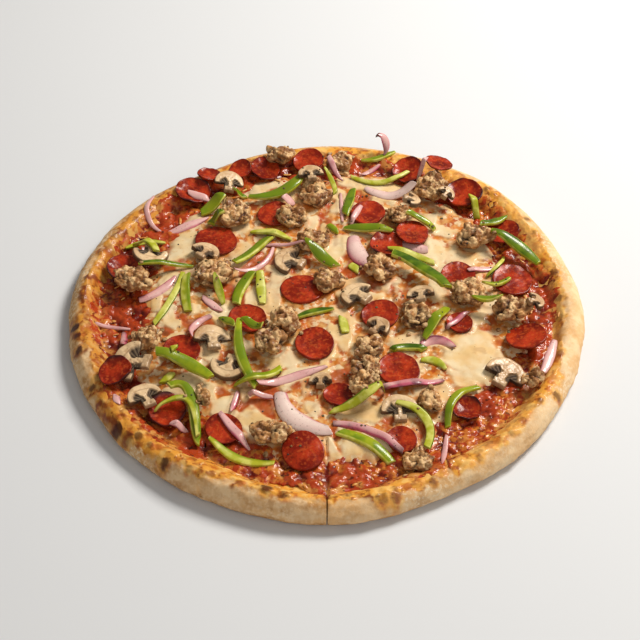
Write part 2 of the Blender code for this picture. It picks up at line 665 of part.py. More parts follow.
def fused_round(kind, entry, name, home, taken):
    """A small round topping sunk into the cheese, or nothing where it isn't clear."""
    x, y = spot(entry[0], entry[1])
    sx, sy = plan_samples(x, y, reach_of(kind, entry), 1.0)
    if not clear_places(taken, sx, sy).all():
        return
    level = float(np.min(cheese_top(sx, sy))) - SUNK
    stand(placed(name, round_mesh(kind, entry), home), x, y, (0.0, 0.0, level))
    taken[cell(sx), cell(sy)] = True


def fused_strip(kind, entry, name, home, taken):
    """The longest clear stretch of a small strip, sunk into the cheese."""
    points, width = entry
    path = path_through(points, 17)
    x, y = strip_samples(path, width, 1.0)
    clear = clear_places(taken, x, y).all(axis=1)
    edges = np.flatnonzero(np.diff(np.concatenate([[0], clear.astype(int), [0]])))
    runs = sorted(zip(edges[::2], edges[1::2]), key=lambda run: run[0] - run[1])
    if not runs:
        return
    first, last = runs[0]
    run = path[first:last + 1]
    if np.hypot(*(run[-1] - run[0])) < SHORTEST_STRIP:
        return
    fewer = run[np.rint(np.linspace(0, len(run) - 1, 4)).astype(int)]
    level = float(np.min(cheese_top(x[first:last], y[first:last]))) - SUNK
    thick = STRIP_THICKNESS[kind] + SUNK
    band = strip_object(name, fewer, np.full(4, level), width, thick, 0.0, home, None)
    solid = evaluated_copy(band)
    bpy.data.objects.remove(band)
    placed(name, solid, home)
    taken[cell(x[first:last]), cell(y[first:last])] = True


def fuse_small_toppings(layer, parts):
    """Joins to the cheese the small toppings that lie on it clear of every separate one."""
    taken = marked_plans()
    loose = collection("small toppings")
    for kind in ("sausage", "mushroom", "pepperoni", "pepper", "onion"):
        fused = fused_strip if kind in STRIP_THICKNESS else fused_round
        for number, entry in enumerate(LISTS[kind][SEPARATE[kind]:], start=1):
            fused(kind, entry, f"fused_{kind}_{number:02d}", loose, taken)
    union = layer.modifiers.new("small toppings", "BOOLEAN")
    union.operation = "UNION"
    union.operand_type = "COLLECTION"
    union.collection = loose
    joined = evaluated_copy(layer)
    for obj in list(loose.objects):
        bpy.data.objects.remove(obj)
    bpy.data.collections.remove(loose)
    bpy.data.objects.remove(layer)
    return placed("cheese", largest_body(joined), parts, material("cheese"))


def largest_body(mesh):
    """The mesh without loose scraps or sealed hollows: only its body with the most points."""
    solid = bmesh.new()
    solid.from_mesh(mesh)
    waiting = set(solid.verts)
    bodies = []
    while waiting:
        body = set()
        front = [waiting.pop()]
        while front:
            corner = front.pop()
            body.add(corner)
            for edge in corner.link_edges:
                other = edge.other_vert(corner)
                if other in waiting:
                    waiting.discard(other)
                    front.append(other)
        bodies.append(body)
    keep = max(bodies, key=len)
    scraps = [corner for body in bodies if body is not keep for corner in body]
    bmesh.ops.delete(solid, geom=scraps, context="VERTS")
    solid.to_mesh(mesh)
    solid.free()
    return mesh


def separate_toppings(kind, ground, home, look):
    """The largest toppings of one kind, each laid on whatever is already under it."""
    for number, entry in enumerate(LISTS[kind][:SEPARATE[kind]], start=1):
        name = f"{kind}_{number:02d}"
        if kind in STRIP_THICKNESS:
            points, width = entry
            path = path_through(points, 7)
            level = strip_levels(ground, path, width)
            arch = STRIP_ARCH[kind] * width
            obj = strip_object(name, path, level, width, STRIP_THICKNESS[kind], arch, home, look)
        else:
            x, y = spot(entry[0], entry[1])
            obj = placed(name, round_mesh(kind, entry), home, look)
            stand(obj, x, y, resting_plane(ground, x, y, reach_of(kind, entry), STEEPEST[kind]))
        ground.add(obj)


def onion_curl(ground, home, look):
    """The end of an onion ring that stands up from the back edge and bends over."""
    path = path_through(ONION_CURL, 8)
    risen = np.interp(np.linspace(0, 1, 8), np.linspace(0, 1, len(ONION_CURL_RISE)), ONION_CURL_RISE)
    level = strip_levels(ground, path, ONION_CURL_WIDTH)
    level = np.maximum(level, level[0] + risen)
    strip_object("onion_curl", path, level, ONION_CURL_WIDTH, ONION_THICKNESS, 0.8, home, look)


def build():
    """The whole pizza, from the dough up."""
    cleared_scene()
    parts = collection("supreme pizza")
    cutters = collection("cutters", helper=True)
    looks = {kind: material(kind) for kind in LISTS}
    dough = crust(parts)
    spread = sauce(parts)
    melt = fuse_small_toppings(cheese(parts), parts)
    knife_cuts(cutters, [dough, spread, melt])
    ground = HeightMap()
    for layer in (dough, spread, melt):
        ground.add(layer)
    for kind in LISTS:
        separate_toppings(kind, ground, parts, looks[kind])
    onion_curl(ground, parts, looks["onion"])


build()
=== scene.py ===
"""Supreme pizza: what the solids leave out, from the flour on the rim to the pepper on the cheese."""

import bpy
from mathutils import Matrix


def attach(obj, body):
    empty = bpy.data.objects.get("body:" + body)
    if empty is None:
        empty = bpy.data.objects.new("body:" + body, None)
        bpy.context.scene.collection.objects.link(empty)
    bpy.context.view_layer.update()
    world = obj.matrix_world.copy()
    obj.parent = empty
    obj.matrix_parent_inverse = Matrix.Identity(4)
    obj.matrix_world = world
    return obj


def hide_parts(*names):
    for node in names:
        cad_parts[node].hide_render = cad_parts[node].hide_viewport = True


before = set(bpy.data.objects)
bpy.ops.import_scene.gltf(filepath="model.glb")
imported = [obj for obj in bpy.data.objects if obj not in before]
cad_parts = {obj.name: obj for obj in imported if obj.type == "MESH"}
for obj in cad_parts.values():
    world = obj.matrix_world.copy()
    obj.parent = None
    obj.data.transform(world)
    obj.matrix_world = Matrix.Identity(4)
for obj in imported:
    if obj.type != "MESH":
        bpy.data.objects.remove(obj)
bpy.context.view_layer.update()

import math

import bpy
import numpy as np
from mathutils import Vector

MM = 0.001

# The studio. A plain pale floor under the pizza, one broad soft light high at the right that gives the
# wet toppings their shine, a weak one in front, and a pale room around them.

FLOOR_COLOUR = (0.72, 0.74, 0.77)
FLOOR_HALF = 3.0
FLOOR_LEVEL = -0.0004
ROOM_COLOUR = (1.0, 0.97, 0.92)
ROOM_STRENGTH = 0.21
AIM = Vector((-4.3, -1.5, 0.0)) * MM
CAMERA_DISTANCE = 1.049
CAMERA_ELEVATION = 46.43
CAMERA_LENS = 84.375
SENSOR_WIDTH = 36.0


def towards(place, target):
    """The turn that points an object's -Z axis from its place at the target."""
    return (target - place).to_track_quat("-Z", "Y").to_euler()


def soft_light(name, azimuth, elevation, distance, size, power, colour):
    """A square lamp aimed at the pizza from a direction in degrees, at a distance in metres."""
    lamp = bpy.data.lights.new(name, "AREA")
    lamp.size = size
    lamp.energy = power
    lamp.color = colour
    flat = math.cos(math.radians(elevation))
    direction = Vector((
        flat * math.cos(math.radians(azimuth)),
        flat * math.sin(math.radians(azimuth)),
        math.sin(math.radians(elevation)),
    ))
    obj = bpy.data.objects.new(name, lamp)
    bpy.context.scene.collection.objects.link(obj)
    obj.location = AIM + direction * distance
    obj.rotation_euler = towards(obj.location, AIM)


soft_light("window_light", azimuth=40, elevation=48, distance=1.6, size=0.50, power=29.0,
           colour=(1.0, 0.95, 0.875))
soft_light("front_fill", azimuth=288, elevation=40, distance=1.6, size=1.2, power=5.5,
           colour=(1.0, 0.94, 0.87))

world = bpy.data.worlds.new("pale_room")
world.use_nodes = True
world.node_tree.nodes["Background"].inputs["Color"].default_value = (*ROOM_COLOUR, 1.0)
world.node_tree.nodes["Background"].inputs["Strength"].default_value = ROOM_STRENGTH
bpy.context.scene.world = world
bpy.context.scene.view_settings.view_transform = "Standard"

camera = bpy.data.objects.new("camera", bpy.data.cameras.new("camera"))
camera.data.lens = CAMERA_LENS
camera.data.sensor_width = SENSOR_WIDTH
camera.data.clip_end = 20.0
up_share = math.sin(math.radians(CAMERA_ELEVATION))
back_share = math.cos(math.radians(CAMERA_ELEVATION))
camera.location = AIM + Vector((0.0, -back_share, up_share)) * CAMERA_DISTANCE
camera.rotation_euler = towards(camera.location, AIM)
bpy.context.scene.collection.objects.link(camera)
bpy.context.scene.camera = camera

floor_mesh = bpy.data.meshes.new("floor")
floor_corners = [
    (FLOOR_HALF * x, FLOOR_HALF * y, FLOOR_LEVEL) for x, y in ((-1, -1), (1, -1), (1, 1), (-1, 1))]
floor_mesh.from_pydata(floor_corners, [], [(0, 1, 2, 3)])
floor = bpy.data.objects.new("floor", floor_mesh)
bpy.context.scene.collection.objects.link(floor)
floor_finish = bpy.data.materials.new("pale_floor")
floor_finish.use_nodes = True
floor_finish.node_tree.nodes["Principled BSDF"].inputs["Base Color"].default_value = (*FLOOR_COLOUR, 1.0)
floor_finish.node_tree.nodes["Principled BSDF"].inputs["Roughness"].default_value = 0.9
floor_mesh.materials.append(floor_finish)

# The crust. Stretched yeast dough, thin in the middle, with a rolled rim that puffed up unevenly in the
# oven: floury and pale outside, gilded where melted cheese and oil ran over its inner slope, scorched
# at a few blisters, and cut through at the front.

RADIUS = 178.0
RIM_HEIGHT = 17.0
RIM_INNER = 151.0
DOUGH = 6.0
# The rim's upper side as the sauce and toppings meet it, and the crust's whole section: radius, level
RIM_SLOPE = [
    (RIM_INNER, DOUGH), (154, 7.6), (157.5, 11.4), (161.5, 15.2), (166, RIM_HEIGHT), (171.5, 15.8),
    (175.8, 12.0), (178, 6.8),
]
CRUST_SECTION = [
    (60, 6), (115, 6), (144, 6), (147.5, 6), (151, 6.1), (154, 7.8), (157.5, 11.4), (161.5, 15.1),
    (166, RIM_HEIGHT), (171.5, 15.9), (175.8, 12), (178, 6.8), (176.8, 2.6), (174, 0.5), (171.5, 0),
    (165, 0), (90, 0), (30, 0),
]
CRUST_COLUMNS = 840
# Bumps of the outline, of the crest and of the rim's inner edge: direction and half width in degrees,
# and millimetres outwards or upwards
OUTLINE_LUMPS = [
    (0, 10, 1.3), (50, 17, 2.2), (123, 16, -6.0), (172, 10, 1.6), (208, 9, -0.8),
    (-92, 14, 2.2), (-62, 12, -2.8), (-30, 17, -1.2),
]
RIM_LUMPS = [
    (-20, 14, 1.4), (-75, 12, -1.2), (-105, 14, 1.2), (-140, 12, -1.0), (165, 16, 0.6), (98, 36, -5.5),
    (55, 14, -1.5), (-48, 9, 1.0),
]
INNER_LUMPS = [
    (-90, 12, 3.0), (-118, 8, -2.0), (-45, 14, 1.0), (-12, 10, 3.0), (20, 10, -1.0), (60, 18, -4.0),
    (172, 26, 3.5), (205, 12, -1.5), (-70, 8, -2.0), (110, 22, 2.5),
]
# How far out the golden baked cheese has run over the rim: direction in degrees, radius
GOLD_REACH = [
    (-180, 172), (-175, 176), (-170, 173), (-164, 165), (-158, 168), (-153, 175), (-146, 177),
    (-138, 176), (-130, 174), (-122, 171), (-116, 170), (-108, 168), (-100, 169), (-89, 169), (-80, 172),
    (-72, 168), (-64, 167), (-56, 170), (-45, 169), (-35, 167), (-25, 169), (-10, 163), (0, 165),
    (20, 167), (40, 171), (60, 172), (85, 173), (105, 174), (125, 171), (150, 169), (165, 169),
    (180, 172),
]
# Blisters: x, y, half width, and how far scorched from 0 to 1, on the rim's golden edge
BLISTERS = [
    (-172, -22, 3.4, 0.95), (-169, -30, 2.4, 0.8), (-166, -44, 3.4, 0.9), (-154, -77, 2.4, 0.8),
    (-135, -111, 4.0, 0.9), (-128, -118, 4.2, 0.45), (-120, -118, 3.0, 0.7), (-102, -140, 3.2, 0.85),
    (-37, -161, 4.0, 0.85), (-26, -166, 3.2, 0.55), (34, -168, 3.4, 0.5), (42, -167, 3.2, 0.5),
    (151, -84, 2.6, 0.7), (139, -91, 2.0, 0.6), (-86, -146, 2.6, 0.35), (-79, -149, 2.4, 0.35),
    (161, 30, 3.4, 0.55), (162, 5, 3.2, 0.5), (118, -118, 2.2, 0.25), (-152, 66, 2.8, 0.5),
    (156, -48, 3.2, 0.25), (147, 85, 2.4, 0.6), (152, 70, 2.0, 0.4), (-161, 50, 2.2, 0.4),
    (-131, 100, 2.4, 0.6), (120, 118, 2.6, 0.6), (-54, -157, 2.2, 0.45), (66, -154, 2.4, 0.4),
    (160, -12, 3.4, 0.25), (-170, 4, 2.4, 0.5), (-168, 22, 2.0, 0.5), (96, -137, 2.2, 0.35),
    (-112, -126, 2.4, 0.5), (14, -165, 2.0, 0.4),
]
# Knife cuts: x, the y where the blade stopped, the y where it left the pizza, and its lowest level
CUTS = [
    (0.0, -116.0, -190.0, -2.0), (-78.0, -116.0, -144.0, 4.5), (-79.0, -156.0, -186.0, 10.0),
    (75.0, -110.0, -146.0, 4.5),
]
# The cut that goes right through: half its width, and how far out the points between its walls reach
CUT_HALF = 0.33
CUT_END = 171.0
PALE_DOUGH = (0.86, 0.620, 0.360)
WARM_DOUGH = (0.70, 0.375, 0.130)
TOASTED = (0.44, 0.20, 0.055)
GOLD = (0.80, 0.36, 0.050)
PALE_GOLD = (0.86, 0.52, 0.15)
# The gold painted lighter, as lit, for the rim's right side
CREAM_GOLD = (0.87, 0.52, 0.17)
DEEP_GOLD = (0.56, 0.16, 0.022)
BURNT_GOLD = (0.25, 0.055, 0.010)
SCORCH = (0.060, 0.012, 0.008)
FLOUR = (0.86, 0.70, 0.48)


def lumps(theta, table):
    """Sum of round bumps about the centre: each is highest at its own direction and fades both ways."""
    total = np.zeros_like(theta)
    for direction, width, amount in table:
        away = (np.degrees(theta) - direction + 180.0) % 360.0 - 180.0
        total = total + amount * np.exp(-((away / width) ** 2))
    return total


def around(theta, table):
    """Value for each direction, drawn straight between the directions that the table gives."""
    degrees, values = np.array(table, dtype=float).T
    return np.interp(np.degrees(theta), degrees, values)


def chance(i, j, k):
    """A fixed random number between -1 and 1 for each whole-number place: its three numbers are
    multiplied by large primes and added, and their bits are mixed."""
    mixed = i * 73856093 + j * 19349663 + k * 83492791
    mixed = ((mixed ^ mixed >> 13) * 1274126177) & 0x7FFFFFFF
    mixed = (mixed ^ mixed >> 16) & 0xFFFF
    return mixed / 32767.5 - 1.0


def relief(x, y, z=0.0):
    """Smooth random waves between -1 and 1, one to a unit of length: a fixed random number at each
    whole-number corner, blended across the cell between corners by 3t² - 2t³ in each direction."""
    places = np.broadcast_arrays(x, y, z)
    whole = [np.floor(part).astype(np.int64) for part in places]
    part_way = [part - low for part, low in zip(places, whole)]
    eased = [part * part * (3.0 - 2.0 * part) for part in part_way]
    total = np.zeros(places[0].shape)
    for corner in range(8):
        step = (corner & 1, corner >> 1 & 1, corner >> 2)
        share = np.prod([part if bit else 1.0 - part for part, bit in zip(eased, step)], axis=0)
        total += chance(*(low + bit for low, bit in zip(whole, step))) * share
    return total


def waves(x, y, z, size, layers=3):
    """Relief of a given size in millimetres, with finer and fainter relief on top of it."""
    total = 0.0
    for layer in range(layers):
        finer = 2.0 ** layer / size
        found = relief(x * finer + 7.3 * layer, y * finer - 3.1 * layer, z * finer + 1.7)
        total = total + found / 1.8 ** layer
    return total


def grains(x, y, z, size):
    """Round grains of a given size packed together: 1 at a grain's middle, falling to 0 between grains.
    Each cell of a cubic grid holds one grain's middle, moved about by relief, and a place takes the
    nearest of those in the 27 cells about it: the height is 1 - (distance to it)² / 0.8, kept above 0."""
    places = [part / size for part in np.broadcast_arrays(x, y, z)]
    whole = [np.floor(part).astype(np.int64) for part in places]
    nearest = np.full(places[0].shape, 9.0)
    for corner in range(27):
        step = (corner % 3 - 1, corner // 3 % 3 - 1, corner // 9 - 1)
        home = [low + part for low, part in zip(whole, step)]
        spread = 0.0
        for axis in range(3):
            moved = home[axis] + 0.5 + 0.45 * chance(home[0] + 31 * axis, home[1] - 17 * axis, home[2] + 7)
            spread = spread + (places[axis] - moved) ** 2
        nearest = np.minimum(nearest, spread)
    return np.clip(1.0 - nearest / 0.8, 0.0, 1.0)


def ramp(value, low, high):
    """0 below low, 1 above high, and an eased rise between them."""
    part = np.clip((value - low) / (high - low), 0.0, 1.0)
    return part * part * (3.0 - 2.0 * part)


def outline_scale(theta):
    """Share by which the outline lies outside or inside the plain circle."""
    return 1.0 + lumps(theta, OUTLINE_LUMPS) / RADIUS


def rim_foot(theta):
    """Radius in millimetres where the rim starts to rise from the flat dough."""
    return (RIM_INNER + lumps(theta, INNER_LUMPS)) * outline_scale(theta)


def near_inner_edge(radius):
    """1 just outside the plain rim's inner edge, fading both ways."""
    return np.exp(-(((radius - RIM_INNER - 3.0) / 7.0) ** 2))


def crest_rise(level, theta):
    """Height added to the plain rim's level in each direction: all of it at the crest, none at the foot."""
    rise = lumps(theta, RIM_LUMPS) + 0.5 * np.sin(9 * theta + 1.0) + 0.4 * np.sin(17 * theta)
    return np.clip((level - DOUGH) / (RIM_HEIGHT - DOUGH), 0.0, 1.0) * rise


def rim_level(radius, theta):
    """Height of the dough's upper side: flat, then the rim's inner slope up to its crest."""
    shifted = radius / outline_scale(theta)
    plain = shifted
    for _ in range(6):
        plain = shifted - lumps(theta, INNER_LUMPS) * near_inner_edge(plain)
    slope = np.interp(plain, *np.array(RIM_SLOPE).T)
    return slope + crest_rise(slope, theta)


def slot_depth(x, y, level, cuts, width):
    """The level lowered to a blade's lowest reach wherever a blade passed."""
    for middle, stopped, left, low in cuts:
        passed = (np.abs(x - middle) <= width) & (y <= stopped) & (y >= left)
        level = np.where(passed, np.minimum(level, max(low, 0.05)), level)
    return level


def cuts_down_to(level):
    """The cuts that go in past the rim, each with this as its lowest level."""
    return [(middle, stopped, left, level) for middle, stopped, left, _ in CUTS[:2] + CUTS[3:]]


def closed_form(name, rings, finish, **tones):
    """One mesh of one or more closed forms on the same grid. For each form the rings are rows of points
    that go all the way round. Each point joins its neighbours in its row and in the next row, and the
    first and last rows close on a point at their middle. Each tone has a number for every grid point,
    or fewer that serve for all of them."""
    rings = rings if rings.ndim == 4 else rings[None]
    forms, rows, turns = rings.shape[:3]

    def closed(values):
        flat = values.reshape(forms, rows * turns, -1)
        first = values[:, 0].mean(axis=1).reshape(forms, 1, -1)
        last = values[:, -1].mean(axis=1).reshape(forms, 1, -1)
        return np.concatenate([first, flat, last], axis=1)

    here = np.arange(rows * turns).reshape(rows, turns) + 1
    beside = np.roll(here, -1, axis=1)
    quads = np.stack([here[:-1], here[1:], beside[1:], beside[:-1]], axis=-1).reshape(-1, 4)
    ends = (np.zeros_like(here[0]), np.full_like(here[0], rows * turns + 1))
    start_fan = np.stack([ends[0], here[0], beside[0]], axis=-1)
    end_fan = np.stack([here[-1], ends[1], beside[-1]], axis=-1)
    fans = np.concatenate([start_fan, end_fan])
    offset = (np.arange(forms) * (rows * turns + 2))[:, None, None]
    quads = (quads[None] + offset).reshape(-1, 4)
    fans = (fans[None] + offset).reshape(-1, 3)
    mesh = bpy.data.meshes.new(name)
    points = closed(rings) * MM
    mesh.vertices.add(points.shape[0] * points.shape[1])
    mesh.vertices.foreach_set("co", points.ravel())
    mesh.loops.add(quads.size + fans.size)
    mesh.loops.foreach_set("vertex_index", np.concatenate([quads.ravel(), fans.ravel()]))
    mesh.polygons.add(len(quads) + len(fans))
    starts = np.concatenate([np.arange(len(quads)) * 4, quads.size + np.arange(len(fans)) * 3])
    mesh.polygons.foreach_set("loop_start", starts)
    mesh.polygons.foreach_set("use_smooth", np.ones(len(starts), dtype=bool))
    for tone_name, values in tones.items():
        values = np.broadcast_to(values, rings.shape[:3])
        kept = mesh.attributes.new(tone_name, "FLOAT", "POINT")
        kept.data.foreach_set("value", closed(values[..., None]).ravel())
    mesh.update(calc_edges=True)
    mesh.materials.append(finish)
    piece = bpy.data.objects.new(name, mesh)
    bpy.context.scene.collection.objects.link(piece)
    return piece


def effect_group(name, inputs, outputs):
    """An empty shader node group with named inputs, each with its usual value, and named outputs."""
    group = bpy.data.node_groups.new(name, "ShaderNodeTree")
    for label, kind, usual in inputs:
        group.interface.new_socket(label, in_out="INPUT", socket_type=kind).default_value = usual
    for label, kind in outputs:
        group.interface.new_socket(label, in_out="OUTPUT", socket_type=kind)
    return group, group.nodes.new("NodeGroupInput"), group.nodes.new("NodeGroupOutput")


def flecks_group():
    """Soft-edged random patches. Mask is 1 in a patch: noise of the given size, cut off at Cover."""
    group, given, made = effect_group(
        "flecks",
        [("Per metre", "NodeSocketFloat", 300.0), ("Cover", "NodeSocketFloat", 0.5),
         ("Softness", "NodeSocketFloat", 0.08), ("Shift", "NodeSocketFloat", 0.0)],
        [("Mask", "NodeSocketFloat")])
    place = group.nodes.new("ShaderNodeTexCoord")
    moved = group.nodes.new("ShaderNodeVectorMath")
    noise = group.nodes.new("ShaderNodeTexNoise")
    noise.inputs["Detail"].default_value = 3.0
    above = group.nodes.new("ShaderNodeMath")
    above.operation = "ADD"
    below = group.nodes.new("ShaderNodeMath")
    below.operation = "SUBTRACT"
    spread = group.nodes.new("ShaderNodeMapRange")
    spread.interpolation_type = "SMOOTHSTEP"
    group.links.new(place.outputs["Object"], moved.inputs[0])
    group.links.new(given.outputs["Shift"], moved.inputs[1])
    group.links.new(moved.outputs[0], noise.inputs["Vector"])
    group.links.new(given.outputs["Per metre"], noise.inputs["Scale"])
    group.links.new(given.outputs["Cover"], above.inputs[0])
    group.links.new(given.outputs["Softness"], above.inputs[1])
    group.links.new(given.outputs["Cover"], below.inputs[0])
    group.links.new(given.outputs["Softness"], below.inputs[1])
    group.links.new(noise.outputs["Fac"], spread.inputs["Value"])
    group.links.new(below.outputs[0], spread.inputs["From Min"])
    group.links.new(above.outputs[0], spread.inputs["From Max"])
    group.links.new(spread.outputs["Result"], made.inputs["Mask"])
    return group


def pores_group():
    """Fine surface relief. Normal is bent by noise of the given size and depth."""
    group, given, made = effect_group(
        "pores",
        [("Per metre", "NodeSocketFloat", 600.0), ("Depth", "NodeSocketFloat", 0.0003),
         ("Strength", "NodeSocketFloat", 0.5)],
        [("Normal", "NodeSocketVector")])
    place = group.nodes.new("ShaderNodeTexCoord")
    noise = group.nodes.new("ShaderNodeTexNoise")
    noise.inputs["Detail"].default_value = 4.0
    noise.inputs["Roughness"].default_value = 0.6
    bump = group.nodes.new("ShaderNodeBump")
    group.links.new(place.outputs["Object"], noise.inputs["Vector"])
    group.links.new(given.outputs["Per metre"], noise.inputs["Scale"])
    group.links.new(noise.outputs["Fac"], bump.inputs["Height"])
    group.links.new(given.outputs["Depth"], bump.inputs["Distance"])
    group.links.new(given.outputs["Strength"], bump.inputs["Strength"])
    group.links.new(bump.outputs["Normal"], made.inputs["Normal"])
    return group


FLECKS = flecks_group()
PORES = pores_group()


class Finish:
    """One material, mixed up step by step: its own shader, the tones kept with the mesh, and effects."""

    def __init__(self, name, roughness, specular=0.5, coat=0.0, coat_roughness=0.1):
        self.material = bpy.data.materials.new(name)
        self.material.use_nodes = True
        self.tree = self.material.node_tree
        self.shader = self.tree.nodes["Principled BSDF"]
        self.shader.inputs["Roughness"].default_value = roughness
        self.shader.inputs["Specular IOR Level"].default_value = specular
        self.shader.inputs["Coat Weight"].default_value = coat
        self.shader.inputs["Coat Roughness"].default_value = coat_roughness

    def set_input(self, socket, value):
        """Links or sets one input, whichever the value is."""
        if isinstance(value, bpy.types.NodeSocket):
            self.tree.links.new(value, socket)
        elif isinstance(value, tuple):
            socket.default_value = (*value, 1.0) if len(value) == 3 else value
        else:
            socket.default_value = value

    def tone(self, name):
        """A tone that was worked out with the mesh."""
        node = self.tree.nodes.new("ShaderNodeAttribute")
        node.attribute_name = name
        return node.outputs["Fac"]

    def flecks(self, per_metre, cover, softness=0.08, shift=0.0):
        """Random patches, by their number to a metre and the share of noise that they start at."""
        node = self.tree.nodes.new("ShaderNodeGroup")
        node.node_tree = FLECKS
        given = (("Per metre", per_metre), ("Cover", cover), ("Softness", softness), ("Shift", shift))
        for label, value in given:
            node.inputs[label].default_value = value
        return node.outputs["Mask"]

    def maths(self, operation, first, second):
        """Two numbers put together, kept between 0 and 1."""
        node = self.tree.nodes.new("ShaderNodeMath")
        node.operation = operation
        node.use_clamp = True
        self.set_input(node.inputs[0], first)
        self.set_input(node.inputs[1], second)
        return node.outputs[0]

    def mixed(self, share, first, second):
        """A colour between two, by a share."""
        node = self.tree.nodes.new("ShaderNodeMix")
        node.data_type = "RGBA"
        self.set_input(node.inputs[0], share)
        self.set_input(node.inputs[6], first)
        self.set_input(node.inputs[7], second)
        return node.outputs[2]

    def speckled(self, colour, other, strength, per_metre, cover, softness, shift=0.0):
        """The colour with random patches of another, at less than full strength."""
        patches = self.maths("MULTIPLY", self.flecks(per_metre, cover, softness, shift), strength)
        return self.mixed(patches, colour, other)

    def between(self, share, low, high):
        """A number between two, by a share."""
        node = self.tree.nodes.new("ShaderNodeMapRange")
        self.set_input(node.inputs["Value"], share)
        node.inputs["To Min"].default_value = low
        node.inputs["To Max"].default_value = high
        return node.outputs["Result"]

    def pores(self, per_metre, depth, strength=0.5):
        """Gives the shader fine surface relief."""
        node = self.tree.nodes.new("ShaderNodeGroup")
        node.node_tree = PORES
        for label, value in (("Per metre", per_metre), ("Depth", depth), ("Strength", strength)):
            node.inputs[label].default_value = value
        self.tree.links.new(node.outputs["Normal"], self.shader.inputs["Normal"])

    def done(self, colour, roughness=None, coat=None):
        """Feeds the shader, and gives the material back."""
        self.set_input(self.shader.inputs["Base Color"], colour)
        if roughness is not None:
            self.set_input(self.shader.inputs["Roughness"], roughness)
        if coat is not None:
            self.set_input(self.shader.inputs["Coat Weight"], coat)
        return self.material


def crust_finish():
    """Matt dough from pale to toasted, flour dust, a glossy golden film, and scorched blisters. Its
    toasting and browning also hold painted shade on the left, on the low outer side and in the cut, and its
    gold is paler on the right as painted light.
    """
    look = Finish("baked_dough", 0.82, specular=0.12)
    dough = look.speckled(PALE_DOUGH, WARM_DOUGH, 0.60, 60, 0.50, 0.12)
    dough = look.speckled(dough, WARM_DOUGH, 0.28, 130, 0.60, 0.10, 3.0)
    mottled = look.between(look.flecks(150, 0.50, 0.07, 4.0), 0.35, 1.0)
    # The toast tone darkens the dough: real toasting, and painted shade on the left side, the low outer
    # side and along the cut.
    dough = look.mixed(look.maths("MULTIPLY", look.tone("toast"), mottled), dough, TOASTED)
    floured = look.maths("MULTIPLY", look.flecks(480, 0.56, 0.09, 1.0), look.tone("flour"))
    dough = look.mixed(floured, dough, FLOUR)
    dough = look.speckled(dough, TOASTED, 0.35, 850, 0.70, 0.03, 5.0)
    gold = look.mixed(look.flecks(150, 0.55, 0.08, 2.0), GOLD, DEEP_GOLD)
    gold = look.speckled(gold, BURNT_GOLD, 0.75, 230, 0.61, 0.05, 8.0)
    gold = look.speckled(gold, PALE_GOLD, 0.85, 120, 0.56, 0.08, 6.0)
    # Paler gold on the right is painted light; the browned gold after it also holds painted shade.
    gold = look.mixed(look.tone("pale"), gold, CREAM_GOLD)
    gold = look.mixed(look.tone("burnt"), gold, BURNT_GOLD)
    colour = look.mixed(look.tone("gilt"), dough, gold)
    # Scorched blisters, and painted shade in the groove of the cut.
    colour = look.mixed(look.tone("scorch"), colour, SCORCH)
    look.pores(560, 0.0006, 0.5)
    shine = look.maths("MULTIPLY", look.tone("gilt"), 0.12)
    return look.done(colour, look.between(look.tone("gilt"), 0.84, 0.40), shine)


def crust_columns():
    """Directions of the crust's columns of points, evenly spaced, with three drawn close to each wall of
    the cut that goes right through and one between the walls, and the places of those seven along x."""
    even = np.linspace(-math.pi, math.pi, CRUST_COLUMNS, endpoint=False)
    even = even[(np.abs(RADIUS * np.cos(even)) > 2.2) | (np.sin(even) > 0)]
    wall = np.array([CUT_HALF, CUT_HALF + 0.03, CUT_HALF + 0.5])
    across = np.concatenate([-wall[::-1], [0.0], wall])
    theta = np.concatenate([even, -math.pi / 2 + across / RADIUS])
    fixed = np.concatenate([np.full(len(even), np.nan), across])
    order = np.argsort(theta)
    return theta[order], fixed[order]


